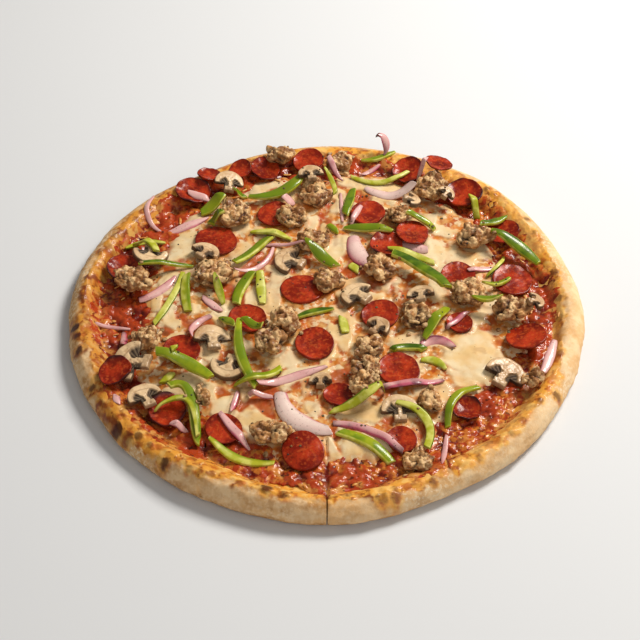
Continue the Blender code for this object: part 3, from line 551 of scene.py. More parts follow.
def crust_form():
    """The rim's rounded profile turned about Z: every direction has its own reach, height and inner
    edge, and the surface is pushed out and in by relief."""
    corners = np.array(CRUST_SECTION)
    steps = np.hypot(*np.diff(corners, axis=0).T)
    travel = np.concatenate([[0.0], np.cumsum(steps)])
    fine_from, fine_to = travel[2], travel[15]
    at = np.concatenate([travel[:2], np.arange(fine_from, fine_to, 0.54), travel[16:]])
    radius = np.interp(at, travel, corners[:, 0])
    level = np.interp(at, travel, corners[:, 1])
    for _ in range(9):
        fine = slice(3, -4)
        radius[fine] = (radius[2:-5] + 2 * radius[3:-4] + radius[4:-3]) / 4
        level[fine] = (level[2:-5] + 2 * level[3:-4] + level[4:-3]) / 4
    theta, fixed = crust_columns()
    out_r = -np.gradient(level)
    out_z = np.gradient(radius)
    length = np.hypot(out_r, out_z)
    out_r, out_z = (-out_r / length)[:, None], (out_z / length)[:, None]
    at_inner_edge = (near_inner_edge(radius) * (level > 5.0))[:, None]
    r = (radius[:, None] + lumps(theta, INNER_LUMPS) * at_inner_edge) * outline_scale(theta)
    z = level[:, None] + crest_rise(level[:, None], theta)
    x, y = r * np.cos(theta), r * np.sin(theta)
    past_foot = r - rim_foot(theta)
    top_side = (np.arange(len(radius)) < np.argmax(radius))[:, None]
    scallop = grains(x, y, 12.0, 7.0)
    edge = around(theta, GOLD_REACH) + 2.2 * waves(x, y, 0.0, 17.0) + 1.6 * waves(x, y, 5.0, 4.5)
    edge = edge + 5.0 * (scallop - 0.6)
    gilt = ramp(edge - r, -1.6, 1.4) * top_side
    open_side = ramp(past_foot, 4.0, 9.0) * np.where(top_side, 1.0, ramp(z, 0.4, 2.0))
    bubbled = grains(x, y, 0.0, 5.5)
    swell = 0.8 * waves(x, y, z, 19.0) + 0.35 * waves(x, y, z, 8.0) + 0.34 * waves(x, y, z, 4.0)
    push = open_side * swell + gilt * ramp(past_foot, 0, 4) * (1.3 * bubbled - 0.5)
    scorch = np.zeros_like(r)
    blister, halo = np.zeros_like(r), np.zeros_like(r)
    for spot_x, spot_y, size, dark in BLISTERS:
        away = np.hypot(x - spot_x, y - spot_y) / size
        raised = ramp(1.25 - away + 0.30 * waves(x, y, z, 2.6), 0.0, 0.55)
        blister = np.maximum(blister, raised)
        halo = np.maximum(halo, ramp(2.1 - away + 0.35 * waves(x, y, z, 4.0), 0.0, 0.9))
        scorch = np.maximum(scorch, raised * dark)
    scorch = scorch * ramp(z, 4.0, 8.0)
    push = push + 0.6 * blister * top_side
    gilt = np.maximum(gilt, 0.85 * halo * ramp(z, 4.0, 8.0))
    brown_rim = ramp(np.abs(edge - r - 1.2), 2.2, 0.4) * ramp(waves(x, y, 9.0, 12.0, 2), -0.3, 0.6)
    burnt = 0.70 * ramp(waves(x, y, 7.0, 6.0, 3), 0.34, 0.80) + 0.40 * brown_rim
    # Besides real browning, the gold is darker in the hollows between its bubbles and towards the left, and
    # lighter towards the right: painted shade and painted light.
    burnt = burnt + 0.35 * (1 - ramp(bubbled, 0.12, 0.45)) + 0.30 * ramp(-x, 40.0, 160.0)
    burnt = burnt * (1.0 - 0.45 * ramp(x, 20.0, 120.0))
    # Paler gold towards the right: painted light, as from the lamp at the right.
    pale = ramp(x, 10.0, 130.0) * ramp(waves(x, y, 3.0, 9.0, 2), -0.6, 0.5) * 0.45
    r = r + push * out_r
    z = np.where(z <= 0.0, 0.0, np.maximum(z + push * out_z, 0.0))
    x, y = r * np.cos(theta), r * np.sin(theta)
    x = np.where(np.isnan(fixed) | (r < 100), x, fixed)
    opened = (np.abs(x) <= CUT_HALF + 0.01) & (y < CUTS[0][1])
    y = np.where(opened, np.maximum(y, -CUT_END), y)
    z = slot_depth(x, y, z, CUTS[:1], CUT_HALF + 0.01)
    groove = np.exp(-((x / 1.3) ** 2)) * (y < CUTS[0][1]) * ramp(CUT_END - r, 0.0, 6.0) * top_side
    z = z - 3.0 * groove * ramp(z, 4.0, 10.0)
    # The groove along the cut is given the scorch colour: painted shade inside the cut.
    scorch = np.maximum(scorch, groove)
    notch = np.exp(-(((x - CUTS[2][0]) / 1.3) ** 2)) * (y < CUTS[2][1]) * top_side
    z = z - 3.4 * notch * ramp(z, 4.0, 10.0)
    # Toasted along the cut on the outer face: painted shade of the cut.
    slit = np.exp(-((x / 1.1) ** 2)) * (y < CUTS[0][1]) * ramp(z, 1.0, 4.0)
    # Toasted low on the outer side: partly the baked bottom edge, partly painted shade on the lower face.
    low_side = ramp(9.0 - z, 0.0, 8.0) * np.where(top_side, ramp(r, 172.0, 176.0), 1.0)
    crown = ramp(waves(x, y, z, 24.0, 2), 0.15, 0.9) * ramp(z, 9.0, 14.5)
    tanned = ramp(waves(x * 0.6, y * 0.6, z * 1.6, 9.0, 2), 0.15, 0.9)
    beside_gold = ramp(edge + 9.0 - r, 0.0, 8.0) * ramp(waves(x, y, 11.0, 16.0, 2), -0.6, 0.4) * top_side
    toast = 0.25 * crown + 0.75 * low_side + 0.45 * tanned + 0.35 * slit + 0.55 * beside_gold
    # Toasted more on the left and less on the right: painted shade and painted light, as from the lamp at
    # the right.
    toast = toast * (1.0 - 0.45 * ramp(x, 0.0, 120.0)) + 0.34 * (1.0 - ramp(x, -20.0, 110.0))
    toast = np.clip(toast, 0.0, 1.0)
    flour = np.clip(0.20 + 0.5 * ramp(waves(x, y, z, 30.0, 2), -0.4, 0.6), 0.0, 0.7)
    rings = np.stack([x, y, z], axis=-1)
    return closed_form("crust_baked", rings, crust_finish(), gilt=gilt, scorch=scorch, pale=pale,
                       toast=toast, flour=flour, burnt=np.clip(burnt, 0.0, 1.0))


crust = crust_form()
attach(crust, "root")
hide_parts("crust")

# The sauce. Cooked tomato sauce spread nearly to the rim. Only a ring of it shows, dark red, wet and
# pulpy, with fat from the cheese floating on it and its outer edge baked onto the rim's slope.

SAUCE_LOW = DOUGH + 0.35
SAUCE_HIGH = SAUCE_LOW + 1.3
SAUCE_RED = (0.42, 0.050, 0.010)
# The sauce as painted in shade
SAUCE_DARK = (0.14, 0.008, 0.003)
SAUCE_ORANGE = (0.60, 0.19, 0.028)
SAUCE_SCORCH = (0.05, 0.010, 0.006)
CRUSTED_CHEESE = (0.64, 0.29, 0.07)
SAUCE_COLUMNS = 800
# How far out the red sauce has run: direction in degrees, radius
SAUCE_REACH = [
    (-180, 166), (-172, 166), (-163, 158), (-157, 160), (-151, 168), (-146, 167), (-139, 162),
    (-130, 165), (-123, 163), (-116, 156), (-108, 158), (-100, 152), (-95, 158), (-90, 162), (-84, 158),
    (-77, 163), (-69, 161), (-61, 165), (-54, 158), (-44, 156), (-38, 160), (-31, 158), (-27, 161),
    (-20, 156), (-10, 157), (-4, 159), (4, 162), (12, 163), (18, 159), (26, 163), (34, 160), (42, 163),
    (52, 161), (60, 163), (72, 162), (85, 165), (105, 165), (125, 162), (150, 163), (165, 163), (180, 166),
]


def sauce_finish():
    """Wet red sauce, painted dark in the hollows between its clumps and in the cut as painted shade, orange
    where fat lies, with browned cheese and scorched bits.
    """
    look = Finish("tomato_sauce", 0.25, specular=0.22, coat=0.22, coat_roughness=0.05)
    # Painted shade: near black in the hollows between the clumps and in the cut, red on the clumps.
    colour = look.mixed(look.tone("pulp"), SAUCE_DARK, SAUCE_RED)
    fatty = look.maths("MULTIPLY", look.flecks(240, 0.53, 0.08), look.tone("fat"))
    colour = look.mixed(fatty, colour, SAUCE_ORANGE)
    baked_on = look.maths("MULTIPLY", look.flecks(170, 0.52, 0.06, 9.0), look.tone("crusted"))
    colour = look.mixed(baked_on, colour, CRUSTED_CHEESE)
    colour = look.speckled(colour, SAUCE_SCORCH, 0.8, 300, 0.64, 0.05, 4.0)
    look.pores(480, 0.0006, 0.5)
    return look.done(colour, look.between(look.flecks(420, 0.5, 0.2, 2.0), 0.14, 0.38))


def sauce_form():
    """A round spread with a lumpy upper side. From the rim's foot outwards it lies as a film on the
    rim's slope, and it ends in an uneven line."""
    theta = np.linspace(-math.pi, math.pi, SAUCE_COLUMNS, endpoint=False)
    lower_share = [0.999, 0.99, 0.975, 0.96, 0.945, 0.93, 0.915, 0.9, 0.6, 0.3]
    share = np.concatenate([[0.35, 0.62], np.linspace(0.74, 1.0, 108), lower_share])[:, None]
    round_x, round_y = 155 * np.cos(theta), 155 * np.sin(theta)
    frayed = 3.2 * waves(round_x, round_y, 3.0, 15.0) + 2.6 * waves(round_x, round_y, 8.0, 4.5)
    reach = np.maximum(around(theta, SAUCE_REACH) + frayed, rim_foot(theta) - 4.0)
    r = share * reach
    x, y = r * np.cos(theta), r * np.sin(theta)
    upper = (np.arange(len(share)) < 110)[:, None]
    clumps = 0.66 * grains(x, y, 0.0, 9.0) + 0.34 * grains(x, y, 9.0, 4.0)
    lift = 4.4 * clumps - 1.9 + 0.5 * waves(x, y, 9.0, 15.0, 2)
    fade = ramp(reach - r, 0.0, 5.0)
    slope = rim_level(r, theta)
    top = np.maximum(SAUCE_HIGH + lift * fade, slope + (0.45 + 0.65 * lift) * fade - 0.35 * (1 - fade))
    z = np.where(upper, top, np.maximum(SAUCE_LOW, slope - 0.9))
    z = np.where(upper & (r > reach - 0.05), slope - 0.5, z)
    z = slot_depth(x, y, z, cuts_down_to(SAUCE_LOW), 0.7)
    # Dark in the hollows between the clumps and red on them: painted shade.
    pulp = ramp(clumps + 0.22 * waves(x, y, 5.0, 12.0, 2), 0.28, 0.72)
    # Dark along the cut that goes through, with no fat there: painted shade inside the cut.
    pulp = pulp * (1.0 - np.exp(-((x / 1.4) ** 2)) * (y < CUTS[0][1]))
    fat = ramp(waves(x, y, 4.0, 17.0, 2), -0.40, 0.5) * ((np.abs(x) > 1.3) | (y > CUTS[0][1]))
    crusted = ramp(reach - r, 17.0, 2.0) * ramp(waves(x, y, 14.0, 14.0, 2), -0.5, 0.3)
    rings = np.stack([x, y, z], axis=-1)
    return closed_form("sauce_spread", rings, sauce_finish(), pulp=pulp, fat=fat, crusted=crusted)


sauce = sauce_form()
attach(sauce, "root")
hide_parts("sauce")

# The lists of the toppings. They are here because the cheese, made next, has flowed round them. The
# readings are in millimetres on a flat grid over the pizza, and the same as in the solids.

GRID_X = 1.005
GRID_Y = 1.032
GRID_SHIFT = 6.3
# Pepperoni: x, y, diameter, height of the curled-up edge (below zero it is domed)
PEPPERONI = [
    (-99, 107, 25, 2.6), (-79, 57, 30, 0.8), (-142, 27, 26, 2.6), (-37, 85, 26, 1.0), (-46, 134, 23, 1.8),
    (-13, 143, 24, 1.4), (31, 86, 26, 0.8), (62, 131, 24, 2.2), (103, 105, 27, 2.8), (43, 52, 25, 2.0),
    (-17, 10, 29, -1.2), (37, -14, 27, 0.8), (-8, -41, 28, 1.0), (48, -64, 29, 1.0), (135, -39, 28, 1.2),
    (131, 20, 30, 0.8), (93, 23, 26, 1.0), (-54, -18, 26, 1.6), (-97, -47, 26, 2.0), (-15, -130, 28, -1.6),
    (-66, -112, 24, 1.0), (-103, -98, 26, 3.0), (128, 65, 24, 1.8), (62, 63, 25, 0.8),
    (-138, -72, 22, 3.0), (90, -95, 20, 3.0), (48, -121, 20, 1.0), (8, -85, 20, 1.0), (84, 124, 20, 1.4),
    (-64, 131, 18, 1.6), (-88, 121, 17, 1.4), (91, -22, 18, 1.4),
]
# Sausage: x, y, length, width, turn in degrees
SAUSAGE = [
    (-79, 21, 28, 24, 20), (-135, 14, 29, 22, -20), (79, 108, 27, 24, 0), (107, 57, 28, 21, 10),
    (37, 27, 22, 21, 0), (98, 3, 25, 23, 0), (61, -17, 27, 21, 80), (127, -15, 26, 22, 0),
    (-28, -26, 27, 24, 100), (-121, -39, 25, 22, 90), (-8, 106, 28, 22, 90), (-67, 81, 30, 22, 90),
    (-34, -119, 26, 17, -15),
    (-25, 80, 24, 21, 0), (-10, 58, 24, 21, 30), (28, -48, 22, 20, 60), (53, 80, 21, 18, 90),
    (1, 17, 23, 20, 60), (-37, -44, 20, 18, 0), (-35, 146, 20, 18, 0), (12, 141, 19, 17, 90),
    (28, -65, 20, 18, 0), (24, -81, 20, 17, 0), (67, -91, 19, 16, 90), (58, -138, 20, 17, 20),
    (135, -75, 15, 13, 0), (-82, -91, 18, 10, 90),
]
# Mushroom slices: x, y, width of the cap, direction in degrees that the cap's top faces
MUSHROOM = [
    (-128, -62, 32, 170), (-118, -90, 24, 120), (-77, -37, 27, 100), (-65, -61, 26, 250),
    (-25, 37, 27, 160), (22, 2, 26, 140), (47, -97, 25, 95), (118, -67, 29, 60), (-125, 39, 26, 270),
    (-72, 114, 23, 90), (-86, 42, 22, 60), (-11, 118, 20, 100), (65, -4, 20, 90), (35, -28, 18, 50),
    (-4, -74, 16, 90), (142, -13, 15, 20), (62, 90, 16, 0), (88, 97, 14, 60),
]
# Green pepper strips: the points that the strip's middle runs through, its width, and the turn of its
# skin about its length (90 upwards, 0 and 180 to its sides, -90 down)
PEPPER = [
    ([(-59, -22), (-58, -50), (-46, -80)], 7, 60),
    ([(-103, -82), (-96, -80), (-86, -98), (-81, -122)], 7, 70),
    ([(118, 57), (135, 47), (150, 30)], 9, 90), ([(47, 38), (67, 24), (83, 2)], 9, 80),
    ([(-57, 100), (-34, 104), (-15, 126)], 9, 100), ([(-113, -57), (-94, -62), (-76, -74)], 9, 90),
    ([(8, -115), (25, -122), (41, -137)], 8, 60),
    ([(-92, 88), (-84, 92), (-76, 98)], 10, 90), ([(-68, 104), (-60, 106)], 6, 90),
    ([(-84, 75), (-76, 78)], 7, 90),
    ([(-144, 52), (-132, 59), (-116, 59)], 5, 20), ([(-137, 55), (-128, 50), (-120, 39)], 6, -30),
    ([(-131, 25), (-112, 30), (-94, 32)], 5, 90), ([(-101, 26), (-107, 2), (-118, -22)], 5, 0),
    ([(-98, 22), (-98, 5), (-95, -11)], 7, 40), ([(-78, 14), (-71, -4)], 6, 30),
    ([(-65, 31), (-40, 62)], 8, 60),
    ([(-54, 67), (-40, 65), (-25, 59)], 7, -60), ([(-62, -6), (-59, 12), (-51, 24)], 8, 60),
    ([(-47, 25), (-44, -4)], 7, -20),
    ([(-15, 48), (-5, 40), (7, 28)], 9, 90), ([(20, 112), (17, 98), (14, 84)], 7, 80),
    ([(13, 71), (30, 68), (48, 63)], 8, 90),
    ([(59, 77), (69, 75), (79, 69)], 5, 70), ([(2, 74), (9, 66)], 5, 90),
    ([(-1, 123), (5, 114), (7, 103)], 4, 0),
    ([(19, 127), (40, 119), (62, 129)], 4, 0), ([(27, 145), (41, 146), (53, 153)], 5, 60),
    ([(107, 101), (111, 84)], 5, 0),
    ([(111, 66), (122, 71), (132, 77)], 6, 90), ([(127, 45), (122, 31), (113, 23)], 3, 0),
    ([(109, 8), (119, 12), (129, 20)], 4, 60), ([(44, 46), (60, 42), (77, 35)], 6, -30),
    ([(17, 34), (23, 28)], 6, 0),
    ([(-20, -16), (-8, -11), (5, -9)], 7, 80), ([(11, -17), (13, -31)], 7, -40),
    ([(83, -8), (75, -22), (66, -37)], 8, 80),
    ([(100, -7), (119, -10)], 6, 60), ([(44, -47), (55, -44), (66, -46)], 6, 60),
    ([(63, -55), (73, -56), (79, -63)], 6, -60),
    ([(-56, -23), (-43, -35)], 6, 90), ([(-72, -17), (-62, -30)], 6, 90),
    ([(-103, -45), (-100, -57)], 6, 0),
    ([(-108, -74), (-102, -66)], 6, 0), ([(-75, -120), (-57, -134), (-33, -137)], 7, 30),
    ([(-60, -76), (-45, -74), (-30, -62)], 6, 60), ([(3, -98), (22, -95), (38, -83)], 7, 20),
    ([(45, -94), (62, -103), (63, -131)], 6, 0), ([(100, -77), (84, -88), (78, -109)], 6, 80),
    ([(-111, -100), (-97, -92), (-82, -120)], 4, 30),
]
# Red onion: the points that the middle runs through, the width, and how purple it is from 0 to 1
ONION = [
    ([(-30, -83), (-25, -99), (2, -113)], 14, 0.15), ([(153, -43), (148, -58), (142, -72)], 7, 0.1),
    ([(-130, 1), (-116, 9), (-106, 23)], 7, 0.55), ([(20, 62), (23, 45), (32, 33)], 14, 0.35),
    ([(-127, 102), (-131, 84), (-119, 70)], 4, 0.3), ([(-115, 69), (-100, 75), (-86, 83)], 7, 0.35),
    ([(-102, 104), (-93, 101), (-84, 99)], 6, 0.1), ([(-64, 23), (-43, 37), (-38, 52)], 4, 0.3),
    ([(-45, 54), (-28, 52), (-12, 47)], 3, 0.6), ([(-31, 98), (-23, 96)], 7, 0.1),
    ([(11, 108), (12, 78)], 3, 0.2),
    ([(26, 92), (18, 74)], 5, 0.3), ([(2, 146), (5, 133), (13, 122)], 5, 0.9),
    ([(27, 131), (41, 141)], 5, 0.5),
    ([(30, 114), (47, 106), (65, 110)], 9, 0.25), ([(68, 118), (76, 127)], 4, 0.3),
    ([(50, 57), (73, 49)], 11, 0.5),
    ([(100, 27), (120, 32)], 5, 0.2), ([(-86, 3), (-72, -11)], 6, 0.2),
    ([(-79, -15), (-90, -25), (-90, -40)], 5, 0.5),
    ([(-138, -27), (-136, -48)], 5, 1.0), ([(-158, -21), (-134, -24)], 3, 0.5),
    ([(-58, -82), (-62, -100)], 4, 0.9),
    ([(-45, -79), (-22, -70), (0, -60)], 6, 0.3), ([(-51, -85), (-35, -87)], 4, 0.2),
    ([(-69, -101), (-49, -127)], 6, 0.4),
    ([(-100, -110), (-89, -113)], 5, 0.3), ([(-137, -88), (-135, -96)], 5, 0.2),
    ([(64, -42), (75, -37), (86, -44)], 7, 0.8),
    ([(82, -27), (99, -11)], 4, 1.0), ([(37, -79), (57, -76), (77, -72)], 7, 0.8),
    ([(4, -108), (24, -112), (48, -133)], 6, 0.9), ([(77, -115), (72, -143)], 4, 0.5),
]
# The ring end that stands up: the points that its middle runs through, width, purple share and arch
ONION_CURL = [(44, 147), (46, 152), (44, 155), (38, 154)]
CURL_WIDTH = 6.5
CURL_PURPLE = 0.6
CURL_ARCH = 0.8
SEPARATE = {"pepperoni": 24, "sausage": 13, "mushroom": 9, "pepper": 6, "onion": 4}


def spot(x, y):
    """Place on the pizza, in millimetres, of a point read off the flat grid."""
    return x * GRID_X, y * GRID_Y + GRID_SHIFT


def pepperoni_reach(diameter, x):
    """Radius for each direction: a circle pulled slightly oval by baking."""
    return lambda turn: 0.5 * diameter * (1.0 + 0.05 * np.sin(2 * turn + x))


def sausage_reach(length, width, heading):
    """Radius for each direction: a lumpy oval, longest along its heading."""
    def reach(turn):
        along = turn - math.radians(heading)
        oval = 1.0 / np.sqrt((np.cos(along) / (0.5 * length)) ** 2 + (np.sin(along) / (0.5 * width)) ** 2)
        return oval * (1.0 + 0.07 * np.sin(5 * turn + length) + 0.05 * np.sin(3 * turn + width))
    return reach


def mushroom_reach(cap, heading):
    """Radius for each direction: half-round cap, undercut below its margins, and a blunt stem."""
    def reach(turn):
        up = np.cos(turn - math.radians(heading))
        side = np.abs(np.sin(turn - math.radians(heading)))
        dome = 0.5 * cap * (1.0 - 0.10 * np.clip(up, 0, 1))
        stem = np.minimum(0.40 * cap / np.maximum(-up, 0.05), 0.17 * cap / np.maximum(side, 0.05))
        below = np.clip((-up - 0.18) / 0.22, 0.0, 1.0)
        return dome * (1 - below) + stem * below
    return reach


def reach_of(kind, entry):
    """The plan of a round topping, as a radius for each direction."""
    if kind == "pepperoni":
        return pepperoni_reach(entry[2], entry[0])
    if kind == "sausage":
        return sausage_reach(*entry[2:])
    return mushroom_reach(*entry[2:])


def plan_samples(x, y, reach, margin):
    """Places that fill a round topping's plan, with a margin outside it."""
    turn = np.linspace(0.0, 2 * math.pi, 72, endpoint=False)
    share = np.linspace(0.0, 1.0, 16)
    radius = share[:, None] * (reach(turn)[None, :] + margin)
    return x + (radius * np.cos(turn)).ravel(), y + (radius * np.sin(turn)).ravel()


def path_through(points, along, order=0):
    """Places on the curve through two to four points, at shares of its length, in millimetres. Order 1
    gives the curve's direction there instead, as unit steps ahead."""
    places = np.array([spot(x, y) for x, y in points], dtype=float)
    steps = np.hypot(*np.diff(places, axis=0).T)
    travel = np.concatenate([[0.0], np.cumsum(steps)]) / steps.sum()
    curves = [np.polyfit(travel, places[:, k], len(points) - 1) for k in (0, 1)]
    found = np.stack([np.polyval(np.polyder(curve, order), along) for curve in curves], axis=1)
    return found / np.hypot(found[:, :1], found[:, 1:]) if order else found


def side_of(path):
    """Unit direction to the left of the path at each of its places."""
    ahead = np.gradient(path, axis=0)
    ahead /= np.hypot(ahead[:, 0], ahead[:, 1])[:, None]
    return np.stack([-ahead[:, 1], ahead[:, 0]], axis=1)


def band_samples(path, width, margin):
    """Places that fill the strip, a row of them for each place along the path."""
    across = np.linspace(-1.0, 1.0, 11) * (0.5 * width + margin)
    places = path[:, None, :] + side_of(path)[:, None, :] * across[None, :, None]
    return places[:, :, 0], places[:, :, 1]


HALF_GRID = 200


def cell(places):
    """Row or column of the pizza's millimetre maps for each place."""
    return np.clip(np.rint(places).astype(int) + HALF_GRID, 1, 2 * HALF_GRID - 1)


def blurred(values, times):
    """The map with each number shared out among its neighbours, several times over."""
    for _ in range(times):
        values = (values + np.roll(values, 1, 0) + np.roll(values, -1, 0) + np.roll(values, 1, 1)
                  + np.roll(values, -1, 1)) / 5.0
    return values


def looked_up(values, x, y):
    """The map's number at each place, blended between its four nearest millimetres."""
    u = np.clip(x + HALF_GRID, 0, 2 * HALF_GRID - 1.001)
    v = np.clip(y + HALF_GRID, 0, 2 * HALF_GRID - 1.001)
    i, j = np.floor(u).astype(int), np.floor(v).astype(int)
    a, b = u - i, v - j
    return ((values[i, j] * (1 - a) + values[i + 1, j] * a) * (1 - b)
            + (values[i, j + 1] * (1 - a) + values[i + 1, j + 1] * a) * b)


def covered(kinds):
    """A map that is 1 where a topping of these kinds lies and 0 elsewhere."""
    taken = np.zeros((2 * HALF_GRID + 1, 2 * HALF_GRID + 1))
    for kind in kinds:
        for entry in {"pepperoni": PEPPERONI, "sausage": SAUSAGE, "mushroom": MUSHROOM}.get(kind, []):
            x, y = plan_samples(*spot(entry[0], entry[1]), reach_of(kind, entry), 0.0)
            taken[cell(x), cell(y)] = 1.0
        for entry in {"pepper": PEPPER, "onion": ONION}.get(kind, []):
            x, y = band_samples(path_through(entry[0], np.linspace(0, 1, 40)), entry[1], 0.0)
            taken[cell(x), cell(y)] = 1.0
    return taken


# The cheese. Shredded mozzarella melted into one sheet: cream-coloured pools, thin stretches where the
# sauce shines through orange, and an edge that ran out in lobes. It has crept up against the toppings.

CHEESE_LOW = SAUCE_HIGH + 0.35
CHEESE_HIGH = CHEESE_LOW + 2.6
CHEESE_RADIUS = 139.0
# Bumps of its edge: direction and half width in degrees, and millimetres outwards
CHEESE_LUMPS = [
    (180, 26, -9.0), (-122, 18, -8.0), (-90, 14, -3.0), (-45, 17, -12.0), (12, 16, -6.0), (75, 34, 7.0),
    (205, 9, 4.0), (-70, 8, 4.0), (-15, 8, 5.0), (150, 12, -3.0),
]
CREAM = (0.79, 0.640, 0.400)
BUTTER = (0.75, 0.47, 0.165)
TANNED = (0.66, 0.36, 0.125)
OILY = (0.60, 0.185, 0.025)
THIN = (0.40, 0.062, 0.012)
BLISTER = (0.24, 0.065, 0.015)
# Pools where the cheese lay thick: x, y, half length, half width, turn in degrees
POOLS = [
    (-104, 63, 27, 15, 12), (-97, 103, 18, 8, 20), (-110, 22, 14, 12, 60), (-48, 130, 14, 12, 80),
    (48, 129, 23, 13, -10), (101, 101, 11, 13, 80), (114, 62, 15, 15, 0), (76, 52, 11, 20, 20),
    (100, -47, 21, 26, 10), (26, -130, 13, 22, 40), (-16, -62, 19, 10, 20), (-47, -105, 15, 10, -50),
    (-91, -68, 16, 9, 0), (24, -96, 20, 8, 10), (-46, 12, 10, 17, 10), (58, -32, 15, 9, 20),
    (-8, 88, 9, 8, 0), (2, 53, 12, 9, 30), (30, 12, 13, 6, 0), (-72, -5, 9, 12, 0), (-30, -48, 11, 8, 40),
    (-110, -8, 11, 8, 80), (84, 78, 9, 7, 0), (-62, 52, 9, 13, -30), (12, -28, 8, 12, 20),
    (-100, -30, 7, 9, 0), (70, -120, 9, 12, 30), (-133, -3, 10, 5, -20), (-20, 22, 8, 6, 0),
    (45, 100, 10, 6, 0), (88, 32, 8, 9, 0), (-68, -88, 9, 6, 20), (8, 118, 7, 9, 0),
]


def cheese_finish():
    """Cream where it is thick, tan and fatty orange where it is thin, down to the red of the sauce, and a
    fatty orange ring round the meat that is partly painted shade.
    """
    look = Finish("melted_cheese", 0.34, specular=0.14, coat=0.07, coat_roughness=0.06)
    cream = look.speckled(CREAM, BUTTER, 0.7, 60, 0.52, 0.14)
    cream = look.speckled(cream, TANNED, 0.35, 260, 0.66, 0.05, 6.0)
    thin = look.mixed(look.flecks(150, 0.50, 0.09, 3.0), TANNED, OILY)
    thin = look.speckled(thin, THIN, 0.9, 110, 0.56, 0.08, 12.0)
    thin = look.speckled(thin, CREAM, 0.85, 190, 0.55, 0.06, 14.0)
    colour = look.mixed(look.tone("cream"), thin, cream)
    # Fat run out of the meat and painted shade round the toppings.
    oily = look.maths("MULTIPLY", look.tone("oil"), look.flecks(150, 0.46, 0.12, 8.0))
    colour = look.mixed(oily, colour, OILY)
    colour = look.mixed(look.tone("stain"), colour, THIN)
    colour = look.mixed(look.tone("blister"), colour, BLISTER)
    look.pores(240, 0.0005, 0.4)
    return look.done(colour, look.between(look.flecks(120, 0.5, 0.15, 5.0), 0.26, 0.52))


def cheese_edge(theta):
    """Radius in millimetres of the cheese's melted edge, always a little inside the rim."""
    wanted = CHEESE_RADIUS + lumps(theta, CHEESE_LUMPS) + 1.6 * np.sin(11 * theta + 0.6)
    return np.minimum(wanted, rim_foot(theta) - 2.5)


